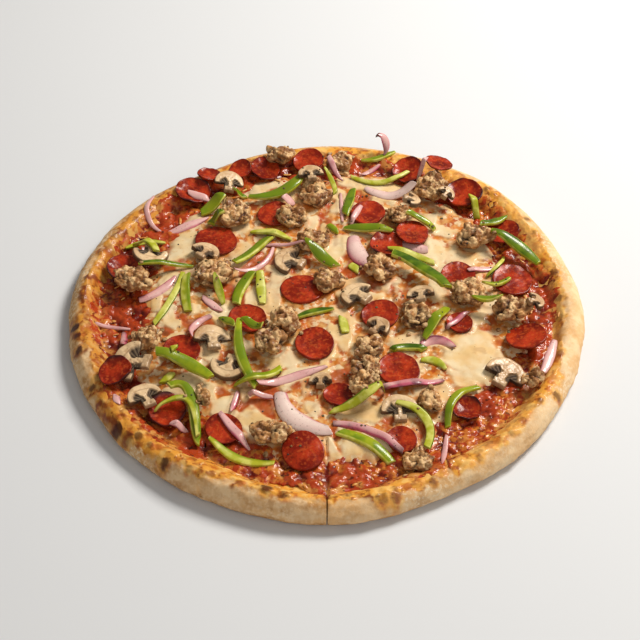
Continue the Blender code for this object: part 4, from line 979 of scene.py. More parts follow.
def cheese_form():
    """A square grid drawn out to a disc: a point's distance is the larger of its two shares, and its
    direction turns evenly along the square's sides. The disc follows the melted edge, its upper side is
    raised by relief and by the toppings that it clings to, and rings of points close it underneath."""
    steps = 298
    share = np.linspace(-1.0, 1.0, steps)
    u, v = np.meshgrid(share, share, indexing="ij")
    wide = np.abs(u) >= np.abs(v)
    safe = np.where(wide, u, v)
    safe = np.where(np.abs(safe) < 1e-9, 1e-9, safe)
    turn = np.where(wide, v / safe * math.pi / 4, math.pi / 2 - u / safe * math.pi / 4)
    out = np.maximum(np.abs(u), np.abs(v))
    theta = np.arctan2(np.sin(turn) * np.sign(safe), np.cos(turn) * np.sign(safe))
    lobes = 1.0 + 0.030 * waves(140 * np.cos(theta), 140 * np.sin(theta), 2.0, 13.0)
    r = out * np.minimum(cheese_edge(theta) * lobes, rim_foot(theta) - 1.0)
    x, y = r * np.cos(theta), r * np.sin(theta)
    under = looked_up(blurred(covered(("pepperoni", "sausage", "mushroom", "pepper", "onion")), 3), x, y)
    greasy = looked_up(blurred(covered(("pepperoni", "sausage")), 9), x, y)
    wander_x, wander_y = 5.5 * waves(x, y, 1.0, 17.0, 3), 5.5 * waves(x, y, 31.0, 17.0, 3)
    cream = 0.90 * ramp(waves(x, y, 21.0, 13.0, 2), 0.12, 0.42)
    for pool_x, pool_y, length, width, heading in POOLS:
        turned_by = math.radians(heading)
        from_x, from_y = x + wander_x - pool_x, y + wander_y - pool_y
        ahead = (from_x * math.cos(turned_by) + from_y * math.sin(turned_by)) / length
        aside = (from_y * math.cos(turned_by) - from_x * math.sin(turned_by)) / width
        cream = np.maximum(cream, ramp(1.06 - np.hypot(ahead, aside), 0.0, 0.28))
    cream = cream * ramp(out, 1.0, 0.95)
    rough = 1.0 - cream
    z = CHEESE_HIGH - 1.1 + 0.35 * waves(x, y, 6.0, 28.0, 2) + 1.7 * cream + 0.22 * waves(x, y, 2.0, 7.0, 2)
    z = z + 0.45 * cream * waves(x, y, 14.0, 11.0, 2)
    z = z + rough * (1.1 * grains(x, y, 3.0, 6.0) + 0.5 * grains(x, y, 8.0, 3.0) - 0.4)
    z = z * (1.0 - under) + (CHEESE_HIGH + 0.1) * under + 3.4 * under * (1.0 - under)
    thinned = CHEESE_LOW - 1.1 * out ** 30 + (z - CHEESE_LOW) * (1.0 - 0.85 * out ** 18)
    z = slot_depth(x, y, thinned, cuts_down_to(CHEESE_LOW + 0.1), 1.0)
    # A ring round the pepperoni and sausage: partly fat run out of the meat, partly painted shade round the
    # toppings.
    oil = np.clip(3.0 * greasy * (1 - greasy) + 0.10, 0.0, 0.9) * ramp(waves(x, y, 8.0, 12.0, 2), -0.5, 0.5)
    stain = rough * ramp(waves(x, y, 40.0, 22.0, 3), 0.05, 0.5) * 0.85
    blister = ramp(waves(x, y, 12.0, 8.0, 3), 0.62, 0.95) * (0.25 + 0.6 * rough)
    top = np.stack([x, y, z], axis=-1)
    side = np.concatenate([np.arange(steps - 1), np.full(steps - 1, steps - 1),
                           np.arange(steps - 1, 0, -1), np.zeros(steps - 1, int)])
    other = np.concatenate([np.zeros(steps - 1, int), np.arange(steps - 1), np.full(steps - 1, steps - 1),
                            np.arange(steps - 1, 0, -1)])
    rim = top[side, other]
    foot = np.concatenate([rim * [1, 1, 0] + [0, 0, SAUCE_LOW], [[0.0, 0.0, SAUCE_LOW]]])
    here = np.arange(steps * steps).reshape(steps, steps)
    quads = np.stack([here[:-1, :-1], here[1:, :-1], here[1:, 1:], here[:-1, 1:]], axis=-1).reshape(-1, 4)
    edge_up = here[side, other]
    edge_down = steps * steps + np.arange(len(side))
    skirt = np.stack([np.roll(edge_up, -1), edge_up, edge_down, np.roll(edge_down, -1)], axis=-1)
    middle = np.full(len(side), steps * steps + len(side))
    fan = np.stack([np.roll(edge_down, -1), edge_down, middle], axis=-1)
    faces = [tuple(row) for row in np.concatenate([quads, skirt]).tolist() + fan.tolist()]
    mesh = bpy.data.meshes.new("cheese_melted")
    points = np.concatenate([top.reshape(-1, 3), foot]) * MM
    mesh.from_pydata(points, [], faces)
    for tone_name, values in (("cream", cream), ("oil", oil), ("stain", stain), ("blister", blister)):
        kept = mesh.attributes.new(tone_name, "FLOAT", "POINT")
        kept.data.foreach_set("value", np.concatenate([values.ravel(), np.zeros(len(foot))]))
    mesh.shade_smooth()
    mesh.materials.append(cheese_finish())
    piece = bpy.data.objects.new("cheese_melted", mesh)
    bpy.context.scene.collection.objects.link(piece)
    return piece, top


cheese, cheese_top = cheese_form()
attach(cheese, "root")
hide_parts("cheese")

# What lies where: the highest level reached so far over each square millimetre. Each topping adds to it.

rows, columns = np.meshgrid(np.arange(-HALF_GRID, HALF_GRID + 1.0), np.arange(-HALF_GRID, HALF_GRID + 1.0),
                            indexing="ij")
direction = np.arctan2(columns, rows)
distance = np.hypot(rows, columns)
ground = np.where(distance < rim_foot(direction) + 24, rim_level(distance, direction), 0.0)
ground = np.where(distance < rim_foot(direction), SAUCE_HIGH + 0.4, ground)
np.maximum.at(ground, (cell(cheese_top[..., 0]), cell(cheese_top[..., 1])), cheese_top[..., 2])
bare_ground = ground.copy()


def heap(points):
    """Raises the map to the points, each in the squares that it and four places 0.6 mm beside it lie in."""
    x, y, z = points[..., 0].ravel(), points[..., 1].ravel(), points[..., 2].ravel()
    for shift_x, shift_y in ((0, 0), (0.6, 0), (-0.6, 0), (0, 0.6), (0, -0.6)):
        np.maximum.at(ground, (cell(x + shift_x), cell(y + shift_y)), z)


def solid_points(node):
    """The node's corner places in millimetres, three rows for each of its triangles."""
    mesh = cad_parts[node].data
    mesh.calc_loop_triangles()
    flat = np.empty(len(mesh.vertices) * 3)
    mesh.vertices.foreach_get("co", flat)
    corners = np.empty(len(mesh.loop_triangles) * 3, dtype=np.int32)
    mesh.loop_triangles.foreach_get("vertices", corners)
    return flat.reshape(-1, 3)[corners].reshape(-1, 3, 3) / MM


def solid_rest(node, x, y):
    """The plane that a node's flat underside lies in: slope along x, slope along y, level at x, y."""
    corners = solid_points(node)
    faces = np.cross(corners[:, 1] - corners[:, 0], corners[:, 2] - corners[:, 0])
    down = faces[:, 2] < -0.9 * np.linalg.norm(faces, axis=1)
    up = -faces[down].sum(axis=0)
    up /= np.linalg.norm(up)
    low = (corners.reshape(-1, 3) @ up).min()
    return -up[0] / up[2], -up[1] / up[2], (low - up[0] * x - up[1] * y) / up[2]


def resting_plane(x, y, reach, steepest, sunk):
    """Lowest plane that clears everything under a topping, then sunk a little into it."""
    sx, sy = plan_samples(x, y, reach, 0.0)
    under = ground[cell(sx), cell(sy)]
    slopes = np.linspace(-steepest, steepest, 15)
    slope_x, slope_y = (part.ravel() for part in np.meshgrid(slopes, slopes, indexing="ij"))
    level = (under - slope_x[:, None] * (sx - x) - slope_y[:, None] * (sy - y)).max(axis=1)
    best = np.argmin(level + 1.5 * np.hypot(slope_x, slope_y))
    return slope_x[best], slope_y[best], level[best] - sunk


def stood(local, x, y, plane):
    """Points about a topping's own middle, carried to its place and tilted onto its plane."""
    up = np.array([-plane[0], -plane[1], 1.0])
    up /= np.linalg.norm(up)
    tilt = np.array(Vector((0, 0, 1)).rotation_difference(Vector(up)).to_matrix())
    return local @ tilt.T + np.array([x, y, plane[2]])


# Pepperoni. Thin slices of cured sausage. In the oven the fat runs out, the edge curls up or the middle
# domes, and the highest edges scorch. Each slice lies on whatever was under it.

PEPPERONI_THICKNESS = 1.9
PEPPERONI_RED = (0.45, 0.038, 0.009)
PEPPERONI_DARK = (0.21, 0.012, 0.004)
PEPPERONI_DEEP = (0.12, 0.008, 0.004)
PEPPERONI_FAT = (0.54, 0.095, 0.020)
PEPPERONI_CHAR = (0.040, 0.012, 0.014)
PEPPERONI_TONES = ("rind", "char")


def pepperoni_finish():
    """Red meat with orange specks of fat, darker at its edge, scorched where it curled, wet with oil."""
    look = Finish("pepperoni_slice", 0.30, specular=0.05, coat=0.32, coat_roughness=0.20)
    colour = look.mixed(look.flecks(70, 0.50, 0.10), PEPPERONI_RED, PEPPERONI_DARK)
    colour = look.speckled(colour, PEPPERONI_DEEP, 0.6, 95, 0.58, 0.06, 15.0)
    colour = look.speckled(colour, PEPPERONI_FAT, 0.5, 420, 0.58, 0.07, 2.0)
    colour = look.speckled(colour, PEPPERONI_DEEP, 0.5, 700, 0.62, 0.05, 11.0)
    colour = look.mixed(look.tone("rind"), colour, PEPPERONI_DEEP)
    colour = look.mixed(look.tone("char"), colour, PEPPERONI_CHAR)
    look.pores(220, 0.0009, 0.6)
    return look.done(colour, look.between(look.flecks(260, 0.50, 0.14, 7.0), 0.22, 0.46))


def pepperoni_rings(entry):
    """A slice about its own middle. Going out by share s, the upper side is at thickness + cup·s³, or
    thickness + dome·(1 - s²)¹·⁵, then it rounds over the edge and comes back underneath."""
    x, y, diameter, cup = entry
    reach = pepperoni_reach(diameter, x)
    turn = np.linspace(0.0, 2 * math.pi, 72, endpoint=False)
    top_share = np.linspace(0.05, 1.0, 20) ** 0.8
    share = np.concatenate([top_share * 0.97, [0.99, 1.0, 0.99, 0.965], [0.90, 0.80, 0.6, 0.3]])[:, None]
    body = np.concatenate([np.ones(20), [0.86, 0.5, 0.18, 0.03], np.zeros(4)])[:, None]
    curl, dome = max(cup, 0.0), max(-cup, 0.0)
    uneven = 1.0 + 0.34 * np.sin(2 * turn + 0.7 * x) + 0.22 * np.sin(3 * turn + y)
    uneven = uneven + 0.12 * np.sin(7 * turn + x)
    lift = curl * share ** 3.0 * uneven
    crown = dome * (1.0 - np.minimum(share, 1.0) ** 2) ** 1.5 * body
    ragged = 1.0 + 0.018 * waves(12 * np.cos(turn) + x, 12 * np.sin(turn) + y, 0.0, 6.0, 2)
    radius = reach(turn) * share * ragged
    px, py = radius * np.cos(turn), radius * np.sin(turn)
    pitted = 0.18 * waves(px + x, py + y, 0.0, 3.4, 2) + 0.75 * waves(px + 2 * x, py, 5.0, 13.0, 2)
    pz = PEPPERONI_THICKNESS * body + lift * np.where(body > 0.02, 1.0, 0.7) + crown + pitted * body
    rind = (ramp(share, 0.86, 0.985) * 0.6 + 0 * px) * (0.7 + 0.3 * waves(px + y, py, 1.0, 7.0, 2))
    char = ramp(lift + 0.8 * waves(px + y, py + x, 2.0, 6.0, 2), 1.5, 3.4) * ramp(share, 0.60, 0.98) * 0.90
    return np.stack([px, py, pz], axis=-1), rind, char


pepperoni_look = pepperoni_finish()


def separate_piece(node, name, rings, look, tone_names, tones):
    """One topping in the place of its node."""
    piece = closed_form(name, rings, look, **dict(zip(tone_names, tones)))
    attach(piece, "root")
    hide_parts(node)
    heap(rings)


def joined_piece(name, forms, look, tone_names, kept):
    """The small toppings of one kind as one piece, with each one's tones in the same order."""
    tones = {label: np.stack([tones[k] for tones in kept]) for k, label in enumerate(tone_names)}
    piece = closed_form(name, np.stack(forms), look, **tones)
    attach(piece, "root")


def lay_round(kind, rings_of, entries, look, name, tone_names):
    """Makes the separate round toppings of one kind where their nodes are, each a piece of its own, and
    gives back the small ones, which are laid once all the separate toppings are there."""
    lying = []
    for number, entry in enumerate(entries, start=1):
        x, y = spot(entry[0], entry[1])
        local, *tones = rings_of(entry)
        if number <= SEPARATE[kind]:
            node = f"{kind}_{number:02d}"
            placed = stood(local, x, y, solid_rest(node, x, y))
            separate_piece(node, f"{name}_{number:02d}", placed, look, tone_names, tones)
        else:
            lying.append((entry, x, y, local, tones))
    return lying


def lay_small(kind, lying, look, name, tone_names, steepest, sunk):
    """Drops the small toppings of one kind on what is there, and joins them in one piece."""
    forms, kept = [], []
    for entry, x, y, local, tones in lying:
        placed = stood(local, x, y, resting_plane(x, y, reach_of(kind, entry), steepest, sunk))
        heap(placed)
        forms.append(placed)
        kept.append(tones)
    joined_piece(name, forms, look, tone_names, kept)


small_pepperoni = lay_round("pepperoni", pepperoni_rings, PEPPERONI, pepperoni_look, "pepperoni_slice",
                            PEPPERONI_TONES)

# Sausage. Pinches of raw sausage meat that browned as they baked: rough crumbly chunks, tan on the high
# spots and brown between them, partly painted shade, dark in the cracks and low down as painted shade, and
# greasy.

SAUSAGE_HEIGHT_SHARE = 0.42
SAUSAGE_TAN = (0.58, 0.290, 0.100)
SAUSAGE_PALE = (0.82, 0.55, 0.27)
SAUSAGE_BROWN = (0.23, 0.088, 0.026)
SAUSAGE_DARK = (0.040, 0.013, 0.005)
SAUSAGE_TONES = ("lump", "crack")


def sausage_finish():
    """Browned meat: tan on the grains and brown between them, partly painted shade, darkest in the cracks
    and low down as painted shade, with pale and dark grains.
    """
    look = Finish("browned_sausage", 0.50, specular=0.28, coat=0.08, coat_roughness=0.15)
    colour = look.mixed(look.tone("lump"), SAUSAGE_BROWN, SAUSAGE_TAN)
    colour = look.speckled(colour, SAUSAGE_BROWN, 0.70, 110, 0.52, 0.07)
    colour = look.speckled(colour, SAUSAGE_PALE, 0.80, 170, 0.52, 0.06, 3.0)
    colour = look.speckled(colour, SAUSAGE_DARK, 0.7, 620, 0.66, 0.03, 6.0)
    # Painted shade in the cracks between the grains and low down where the chunk rests.
    colour = look.mixed(look.tone("crack"), colour, SAUSAGE_DARK)
    look.pores(1000, 0.0004, 0.6)
    return look.done(colour, look.between(look.flecks(380, 0.5, 0.1, 9.0), 0.34, 0.68))


def sausage_rings(entry):
    """A chunk about its own middle: a ball drawn out to its plan, flat where it rests. Its surface is
    pushed out by soft bulges and by packed grains of two sizes, with cracks between them."""
    x, y, length, width, heading = entry
    fall = np.linspace(0.06, math.pi - 0.12, 54)[:, None]
    turn = np.linspace(0.0, 2 * math.pi, 84, endpoint=False)
    reach = sausage_reach(length, width, heading)(turn)
    height = SAUSAGE_HEIGHT_SHARE * width
    flat = np.sin(fall) ** 0.85
    radius = 0.93 * reach * flat
    px, py = radius * np.cos(turn), radius * np.sin(turn)
    raised = height * (np.maximum(np.cos(fall), -0.55) + 0.55) / 1.55
    pz = raised + 0 * turn
    seed = x * 3.7 + y
    bulge = waves(px + seed, py - 40, pz, 10.0, 2)
    coarse = grains(px + seed, py, pz, 6.2)
    fine = grains(px + seed, py + 40, pz, 2.4)
    push = 2.2 * bulge + 2.8 * (coarse - 0.58) + 1.5 * (fine - 0.5)
    resting = ramp(raised, 0.0, 1.5)
    out_x, out_y = np.cos(turn) * np.sin(fall), np.sin(turn) * np.sin(fall)
    px, py = px + push * out_x, py + push * out_y
    pz = np.maximum(pz + push * np.maximum(np.cos(fall), 0.0) * resting + 0.4 * push * resting, 0.0)
    # Tan on the grains and brown between them: partly random browning, partly painted shade between the
    # grains.
    lump = ramp(0.45 * coarse + 0.35 * fine + 0.45 * waves(px + seed, py, pz, 7.0, 2), 0.20, 0.90)
    # Painted shade: dark in the cracks between the grains and low down where the chunk rests.
    crack = 0.95 * (1 - ramp(coarse * 0.55 + fine * 0.49, 0.28, 0.58)) + 0.40 * (1 - ramp(raised, 0.5, 3.0))
    return np.stack([px, py, pz], axis=-1), lump, np.clip(crack, 0, 1)


sausage_look = sausage_finish()
small_sausage = lay_round("sausage", sausage_rings, SAUSAGE, sausage_look, "sausage_chunk",
                          SAUSAGE_TONES)

# Mushroom. Button mushrooms sliced from cap to stem: cream flesh with a thin brown skin round the cap
# and two dark lobes of gills, sunk below the flesh, under the cap's arch on both sides of the stem.

MUSHROOM_THICKNESS = 4.0
MUSHROOM_FLESH = (0.76, 0.54, 0.31)
MUSHROOM_TAN = (0.50, 0.29, 0.135)
MUSHROOM_BROWN = (0.20, 0.095, 0.042)
MUSHROOM_GILL = (0.022, 0.011, 0.007)
MUSHROOM_SKIN = (0.085, 0.040, 0.020)
MUSHROOM_TONES = ("gill", "skin", "brown")


def mushroom_finish():
    """Moist cream flesh, tan in patches and brown at the skin, with nearly black, duller gills."""
    look = Finish("mushroom_slice", 0.40, specular=0.35, coat_roughness=0.2)
    colour = look.speckled(MUSHROOM_FLESH, MUSHROOM_TAN, 0.85, 45, 0.52, 0.10)
    colour = look.speckled(colour, MUSHROOM_TAN, 0.55, 230, 0.60, 0.08, 2.0)
    colour = look.speckled(colour, MUSHROOM_BROWN, 0.6, 420, 0.68, 0.04, 8.0)
    colour = look.mixed(look.tone("brown"), colour, MUSHROOM_BROWN)
    colour = look.mixed(look.tone("skin"), colour, MUSHROOM_SKIN)
    colour = look.mixed(look.tone("gill"), colour, MUSHROOM_GILL)
    look.pores(700, 0.0003, 0.4)
    roughness = look.between(look.tone("gill"), 0.36, 0.85)
    return look.done(colour, roughness, look.between(look.tone("gill"), 0.18, 0.02))


def mushroom_rings(entry):
    """A slice about its own middle. Its outline is the cap and stem, and it has bent as it dried. The
    gills fill an ellipse under the cap's arch, but for the stem, which widens to meet the flesh."""
    x, y, cap, heading = entry
    seed = 0.37 * x + 0.61 * y
    turn = np.linspace(0.0, 2 * math.pi, 132, endpoint=False)
    outline = mushroom_reach(cap, heading)(turn)
    outline = outline * (1.0 + 0.030 * waves(9 * np.cos(turn) + x, 9 * np.sin(turn) + y, 0.0, 5.0, 2))
    turned_under = [0.975, 0.995, 1.0, 0.985, 0.93, 0.7, 0.35]
    share = np.concatenate([np.linspace(0.03, 0.94, 34), turned_under])[:, None]
    body = np.concatenate([np.ones(34), [0.94, 0.72, 0.28, 0.06], np.zeros(3)])[:, None]
    inward = np.where(body > 0.5, 0.97, 1.0)
    px, py = outline * share * inward * np.cos(turn), outline * share * inward * np.sin(turn)
    head = math.radians(heading)
    ahead = (px * math.cos(head) + py * math.sin(head)) / (0.5 * cap)
    aside = (-px * math.sin(head) + py * math.cos(head)) / (0.5 * cap)
    frayed = 0.07 * waves(px + x, py + y, 3.0, 3.0, 2)
    deep = 0.60 + 0.08 * math.sin(seed)
    arch = np.hypot((ahead + 0.24) / deep, aside / 0.74) + frayed
    flare = 0.17 + 0.05 * math.sin(2.3 * seed) + 0.34 * ramp(ahead, -0.05, 0.42) + frayed
    gill = (1 - ramp(arch, 0.88, 1.0)) * ramp(np.abs(aside), flare - 0.05, flare + 0.06)
    gill = gill * ramp(ahead, -0.50, -0.38)
    leaf = 0.5 + 0.5 * np.sin(22.0 * np.arctan2(aside, ahead + 0.35) + 2.0 * frayed)
    bent = 1.5 * np.sin(0.75 * ahead + x) * np.cos(0.65 * aside + y)
    bent = bent + 0.45 * waves(px + x, py + y, 1.0, 9.0, 2) + 0.9 * math.sin(seed) * aside ** 2
    top = MUSHROOM_THICKNESS * body * (1.0 - 0.10 * ramp(share, 0.80, 1.0)) + bent * (0.35 + 0.65 * body)
    stem = (1 - ramp(np.abs(aside), flare - 0.04, flare + 0.04)) * (1 - ramp(ahead, -0.15, 0.1))
    ragged = 0.55 * grains(px + x, py + y, 0.0, 2.4) * stem
    surface = 0.14 * waves(px + y, py, 0.0, 2.2, 2) - 0.3 * stem + ragged
    pz = np.maximum(top - (1.1 + 0.3 * leaf) * gill * body + surface * body, 0.0)
    capside = ramp(ahead, -0.60, -0.20)
    skin = np.where(body < 0.93, 0.92, ramp(share, 0.955, 0.985) * 0.75) * (0.30 + 0.70 * capside)
    lining = (1 - ramp(np.abs(arch - 1.0), 0.0, 0.09)) * ramp(ahead, -0.5, -0.3) * 0.5
    worn = ramp(ragged + 0.2 * waves(px, py + x, 0.0, 3.0, 2), 0.30, 0.0)
    brown = 0.55 * stem * worn + 0.35 * (1 - capside)
    brown = np.clip(np.maximum(brown, lining), 0, 0.8)
    gill = gill * (0.80 + 0.20 * leaf) * np.where(body > 0.5, 1.0, 0.3)
    return np.stack([px, py, pz], axis=-1), np.clip(gill, 0, 1), skin + 0 * px, brown


mushroom_look = mushroom_finish()
small_mushroom = lay_round("mushroom", mushroom_rings, MUSHROOM, mushroom_look, "mushroom_slice",
                           MUSHROOM_TONES)

# Green pepper. Strips cut across a bell pepper, thick-walled: shiny green skin on one side, paler
# yellow-green flesh on the others, softened so that they lie over whatever is under them.

PEPPER_THICKNESS = 3.0
PEPPER_SKIN = (0.155, 0.235, 0.006)
PEPPER_SKIN_DEEP = (0.045, 0.100, 0.004)
PEPPER_SKIN_BRIGHT = (0.34, 0.39, 0.010)
PEPPER_FLESH = (0.40, 0.41, 0.018)
PEPPER_PALE = (0.62, 0.60, 0.13)
PEPPER_TONES = ("skin", "ripe", "ribbed")


def pepper_finish():
    """Waxy green skin over yellow-green flesh that is palest at the cut edges."""
    look = Finish("green_pepper", 0.26, specular=0.25, coat_roughness=0.12)
    skin = look.mixed(look.tone("ripe"), PEPPER_SKIN_DEEP, PEPPER_SKIN_BRIGHT)
    skin = look.mixed(look.flecks(90, 0.52, 0.14), skin, PEPPER_SKIN)
    flesh = look.mixed(look.flecks(140, 0.52, 0.12, 3.0), PEPPER_FLESH, PEPPER_PALE)
    flesh = look.mixed(look.tone("ribbed"), flesh, PEPPER_SKIN)
    colour = look.mixed(look.tone("skin"), flesh, skin)
    look.pores(420, 0.0003, 0.35)
    roughness = look.between(look.tone("skin"), 0.42, 0.27)
    return look.done(colour, roughness, look.between(look.tone("skin"), 0.08, 0.20))


def solid_levels(node, path):
    """Level of a solid strip's upper side under each place of a path, looked for from above."""
    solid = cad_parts[node]
    found = []
    for x, y in path:
        hit, place, _, _ = solid.ray_cast(Vector((x, y, 80.0)) * MM, Vector((0, 0, -1)))
        found.append(place.z / MM if hit else np.nan)
    found = np.array(found)
    known = np.flatnonzero(~np.isnan(found))
    return np.interp(np.arange(len(found)), known, found[known])


def draped_levels(path, width, tightest, over):
    """Level of a strip's underside at each place: on the highest thing under it there, and bent over it
    no more sharply than the radius of its tightest bend: for a step s, the middle of three places lies
    at most s² / (2 · radius) below the line between the two others."""
    x, y = band_samples(path, width * 0.7, 0.0)
    level = over[cell(x), cell(y)].max(axis=1)
    step = np.hypot(*np.diff(path, axis=0).T).mean()
    for _ in range(400):
        level[1:-1] = np.maximum(level[1:-1], 0.5 * (level[:-2] + level[2:]) - 0.5 * step ** 2 / tightest)
    return level


def smoothed(values, times):
    """The row of numbers with each drawn towards the mean of its neighbours, several times over."""
    values = values.copy()
    for _ in range(times):
        values[1:-1] = 0.25 * values[:-2] + 0.5 * values[1:-1] + 0.25 * values[2:]
    return values


STRIP_STEPS = 48
PATH_STEPS = 46
# The large strips' seeds are below this, and those of the small ones, which lie looser, above it
LARGE_SEEDS = 10
# How a strip's rings close on each end: millimetres from the end, and share of the full section there
END_RINGS = [(0.0, 0.55), (0.0, 0.88), (0.25, 0.975), (0.8, 1.0)]


def strip_rings(points, level, width, thickness, arch, boxy, roll, tips, seed):
    """A band along a path. Each ring is a rounded box across it, raised in its middle by the arch and
    rolled over by an angle. The band narrows by a share towards each tip, where it is cut off slanting.
    It also gives each point's share across, its turn round the band and its share of the length."""
    even = np.linspace(0.0, 1.0, len(level))
    length = np.hypot(*np.diff(path_through(points, even), axis=0).T).sum()
    near, closing = np.array(END_RINGS).T
    inner = np.linspace(2.0 / length, 1.0 - 2.0 / length, STRIP_STEPS - 2 * len(near))
    along = np.concatenate([near / length, inner, 1.0 - near[::-1] / length])
    closing = np.concatenate([closing, np.ones(len(inner)), closing[::-1]])[:, None]
    path, ahead = path_through(points, along), path_through(points, along, 1)
    level = np.interp(along, even, level)[:, None]
    along = along[:, None]
    narrowed = 1.0 - tips[0] * np.clip(1.0 - along / 0.45, 0, 1) ** 1.6
    narrowed = narrowed - tips[1] * np.clip(1.0 - (1.0 - along) / 0.45, 0, 1) ** 1.6
    turn = np.linspace(0.0, 2 * math.pi, 28, endpoint=False)
    across = np.sign(np.cos(turn)) * np.abs(np.cos(turn)) ** boxy
    up = -np.sign(np.sin(turn)) * np.abs(np.sin(turn)) ** boxy
    uneven = 1.0 + 0.07 * waves(along * length + seed, 0.0, 0.0, 11.0, 2)
    half = 0.5 * width * narrowed * uneven
    flat = across * half * closing
    thick = 0.5 * thickness * up * (0.45 + 0.55 * narrowed)
    risen = (thick + arch * (0.4 - across ** 2) * narrowed) * closing
    away = flat * math.cos(roll) - risen * math.sin(roll)
    slant = 0.8 * math.sin(3.1 * seed) * (1 - ramp(along, 0.0, 0.3))
    slant = slant + 0.8 * math.sin(5.3 * seed) * ramp(along, 0.7, 1.0)
    forward = flat * slant
    x = path[:, :1] - ahead[:, 1:] * away + ahead[:, :1] * forward
    y = path[:, 1:] + ahead[:, :1] * away + ahead[:, 1:] * forward
    z = level + 0.5 * thickness + 0.4 * arch + 0.35 * half * abs(math.sin(roll))
    z = z + flat * math.sin(roll) + risen * math.cos(roll) + 0.10 * waves(x + seed, y, 0.0, 4.0, 2)
    return np.stack([x, y, z], axis=-1), across + 0 * x, turn + 0 * x, along + 0 * x


def pepper_rings(entry, level, seed):
    """A pepper strip: a boxy band whose skin faces the turn that the list gives it."""
    points, width, facing = entry
    loose = seed > LARGE_SEEDS
    roll = math.radians((16 if loose else 7) * math.sin(1.9 * seed + width))
    tips = (0.25 + 0.45 * max(0.0, math.sin(2.7 * seed)), 0.2 + 0.5 * max(0.0, math.sin(4.1 * seed + 1.0)))
    thickness = PEPPER_THICKNESS * (0.80 if loose else 1.0)
    arch = (0.12 if abs(facing - 90) < 50 else 0.05) * width
    rings, across, turn, along = strip_rings(points, level, width, thickness, arch, 0.40, roll, tips, seed)
    toward = np.cos(-turn - math.radians(facing))
    skin = ramp(toward + 0.03 * waves(along * 30 + seed, across, 0.0, 6.0, 2), 0.60, 0.72)
    skin = skin * (1 - ramp(np.abs(2 * along - 1), 0.975, 0.995))
    ripe = 0.45 + 0.40 * math.sin(seed * 1.3) + 0.35 * waves(along * 20 + seed, across * 2, 0.0, 9.0, 2)
    opposite = np.cos(-turn - math.radians(facing) + math.pi)
    lined = ramp(waves(along * 24 + seed, across * 3, 1.0, 5.0, 2), -0.2, 0.5)
    ribbed = 0.55 * ramp(opposite, 0.75, 0.95) * lined
    return rings, skin, np.clip(ripe, 0, 1), ribbed


def lay_strips(kind, entries, rings_of, thickness, arch_share, look, name, tone_names):
    """Makes the strips of one kind whose solids are nodes, each where its node is."""
    for number, entry in enumerate(entries[:SEPARATE[kind]], start=1):
        node = f"{kind}_{number:02d}"
        path = path_through(entry[0], np.linspace(0, 1, PATH_STEPS))
        level = solid_levels(node, path) - thickness - arch_share * entry[1]
        rings, *tones = rings_of(entry, smoothed(level, 12), float(number))
        separate_piece(node, f"{name}_{number:02d}", rings, look, tone_names, tones)


def drape_small(entries, rings_of, tightest, look, name, tone_names, sunk, tucked=()):
    """Lays the small strips of one kind over what is there, and joins them in one piece. The tucked ones
    lie in the cheese, under the toppings."""
    forms, kept = [], []
    for number, entry in enumerate(entries, start=1):
        path = path_through(entry[0], np.linspace(0, 1, PATH_STEPS))
        over = bare_ground if number in tucked else ground
        level = smoothed(draped_levels(path, entry[1], tightest, over), 8) - sunk
        rings, *tones = rings_of(entry, level, 17.0 + 3.7 * number)
        heap(rings)
        forms.append(rings)
        kept.append(tones)
    joined_piece(name, forms, look, tone_names, kept)


pepper_look = pepper_finish()
lay_strips("pepper", PEPPER, pepper_rings, thickness=PEPPER_THICKNESS, arch_share=0.10, look=pepper_look,
           name="pepper_strip", tone_names=PEPPER_TONES)

# Red onion. Single layers of sliced red onion: pale pink, wet and half clear, with magenta skin along one
# edge. The wide ones are petals that cup downwards, and one ring end stands up from the back edge.

ONION_SOLID_THICKNESS = 1.9
ONION_THICKNESS = 1.4
ONION_PINK = (0.74, 0.33, 0.33)
ONION_WHITE = (0.82, 0.66, 0.58)
ONION_MAGENTA = (0.50, 0.070, 0.135)
ONION_DEEP = (0.17, 0.025, 0.055)
ONION_BROWNED = (0.10, 0.030, 0.025)
ONION_TONES = ("purple", "white", "scorch")


def onion_finish():
    """Pink-white flesh with fine lines along it, magenta to purple at the skin, browned at the tips."""
    look = Finish("red_onion", 0.30, specular=0.40, coat=0.22, coat_roughness=0.12)
    flesh = look.mixed(look.tone("white"), ONION_PINK, ONION_WHITE)
    skin = look.mixed(look.flecks(110, 0.54, 0.12, 2.0), ONION_MAGENTA, ONION_DEEP)
    colour = look.mixed(look.tone("purple"), flesh, skin)
    colour = look.speckled(colour, ONION_BROWNED, 0.4, 500, 0.66, 0.04, 5.0)
    colour = look.mixed(look.tone("scorch"), colour, ONION_BROWNED)
    look.pores(380, 0.0003, 0.30)
    return look.done(colour, look.between(look.flecks(300, 0.5, 0.12, 1.0), 0.20, 0.42))


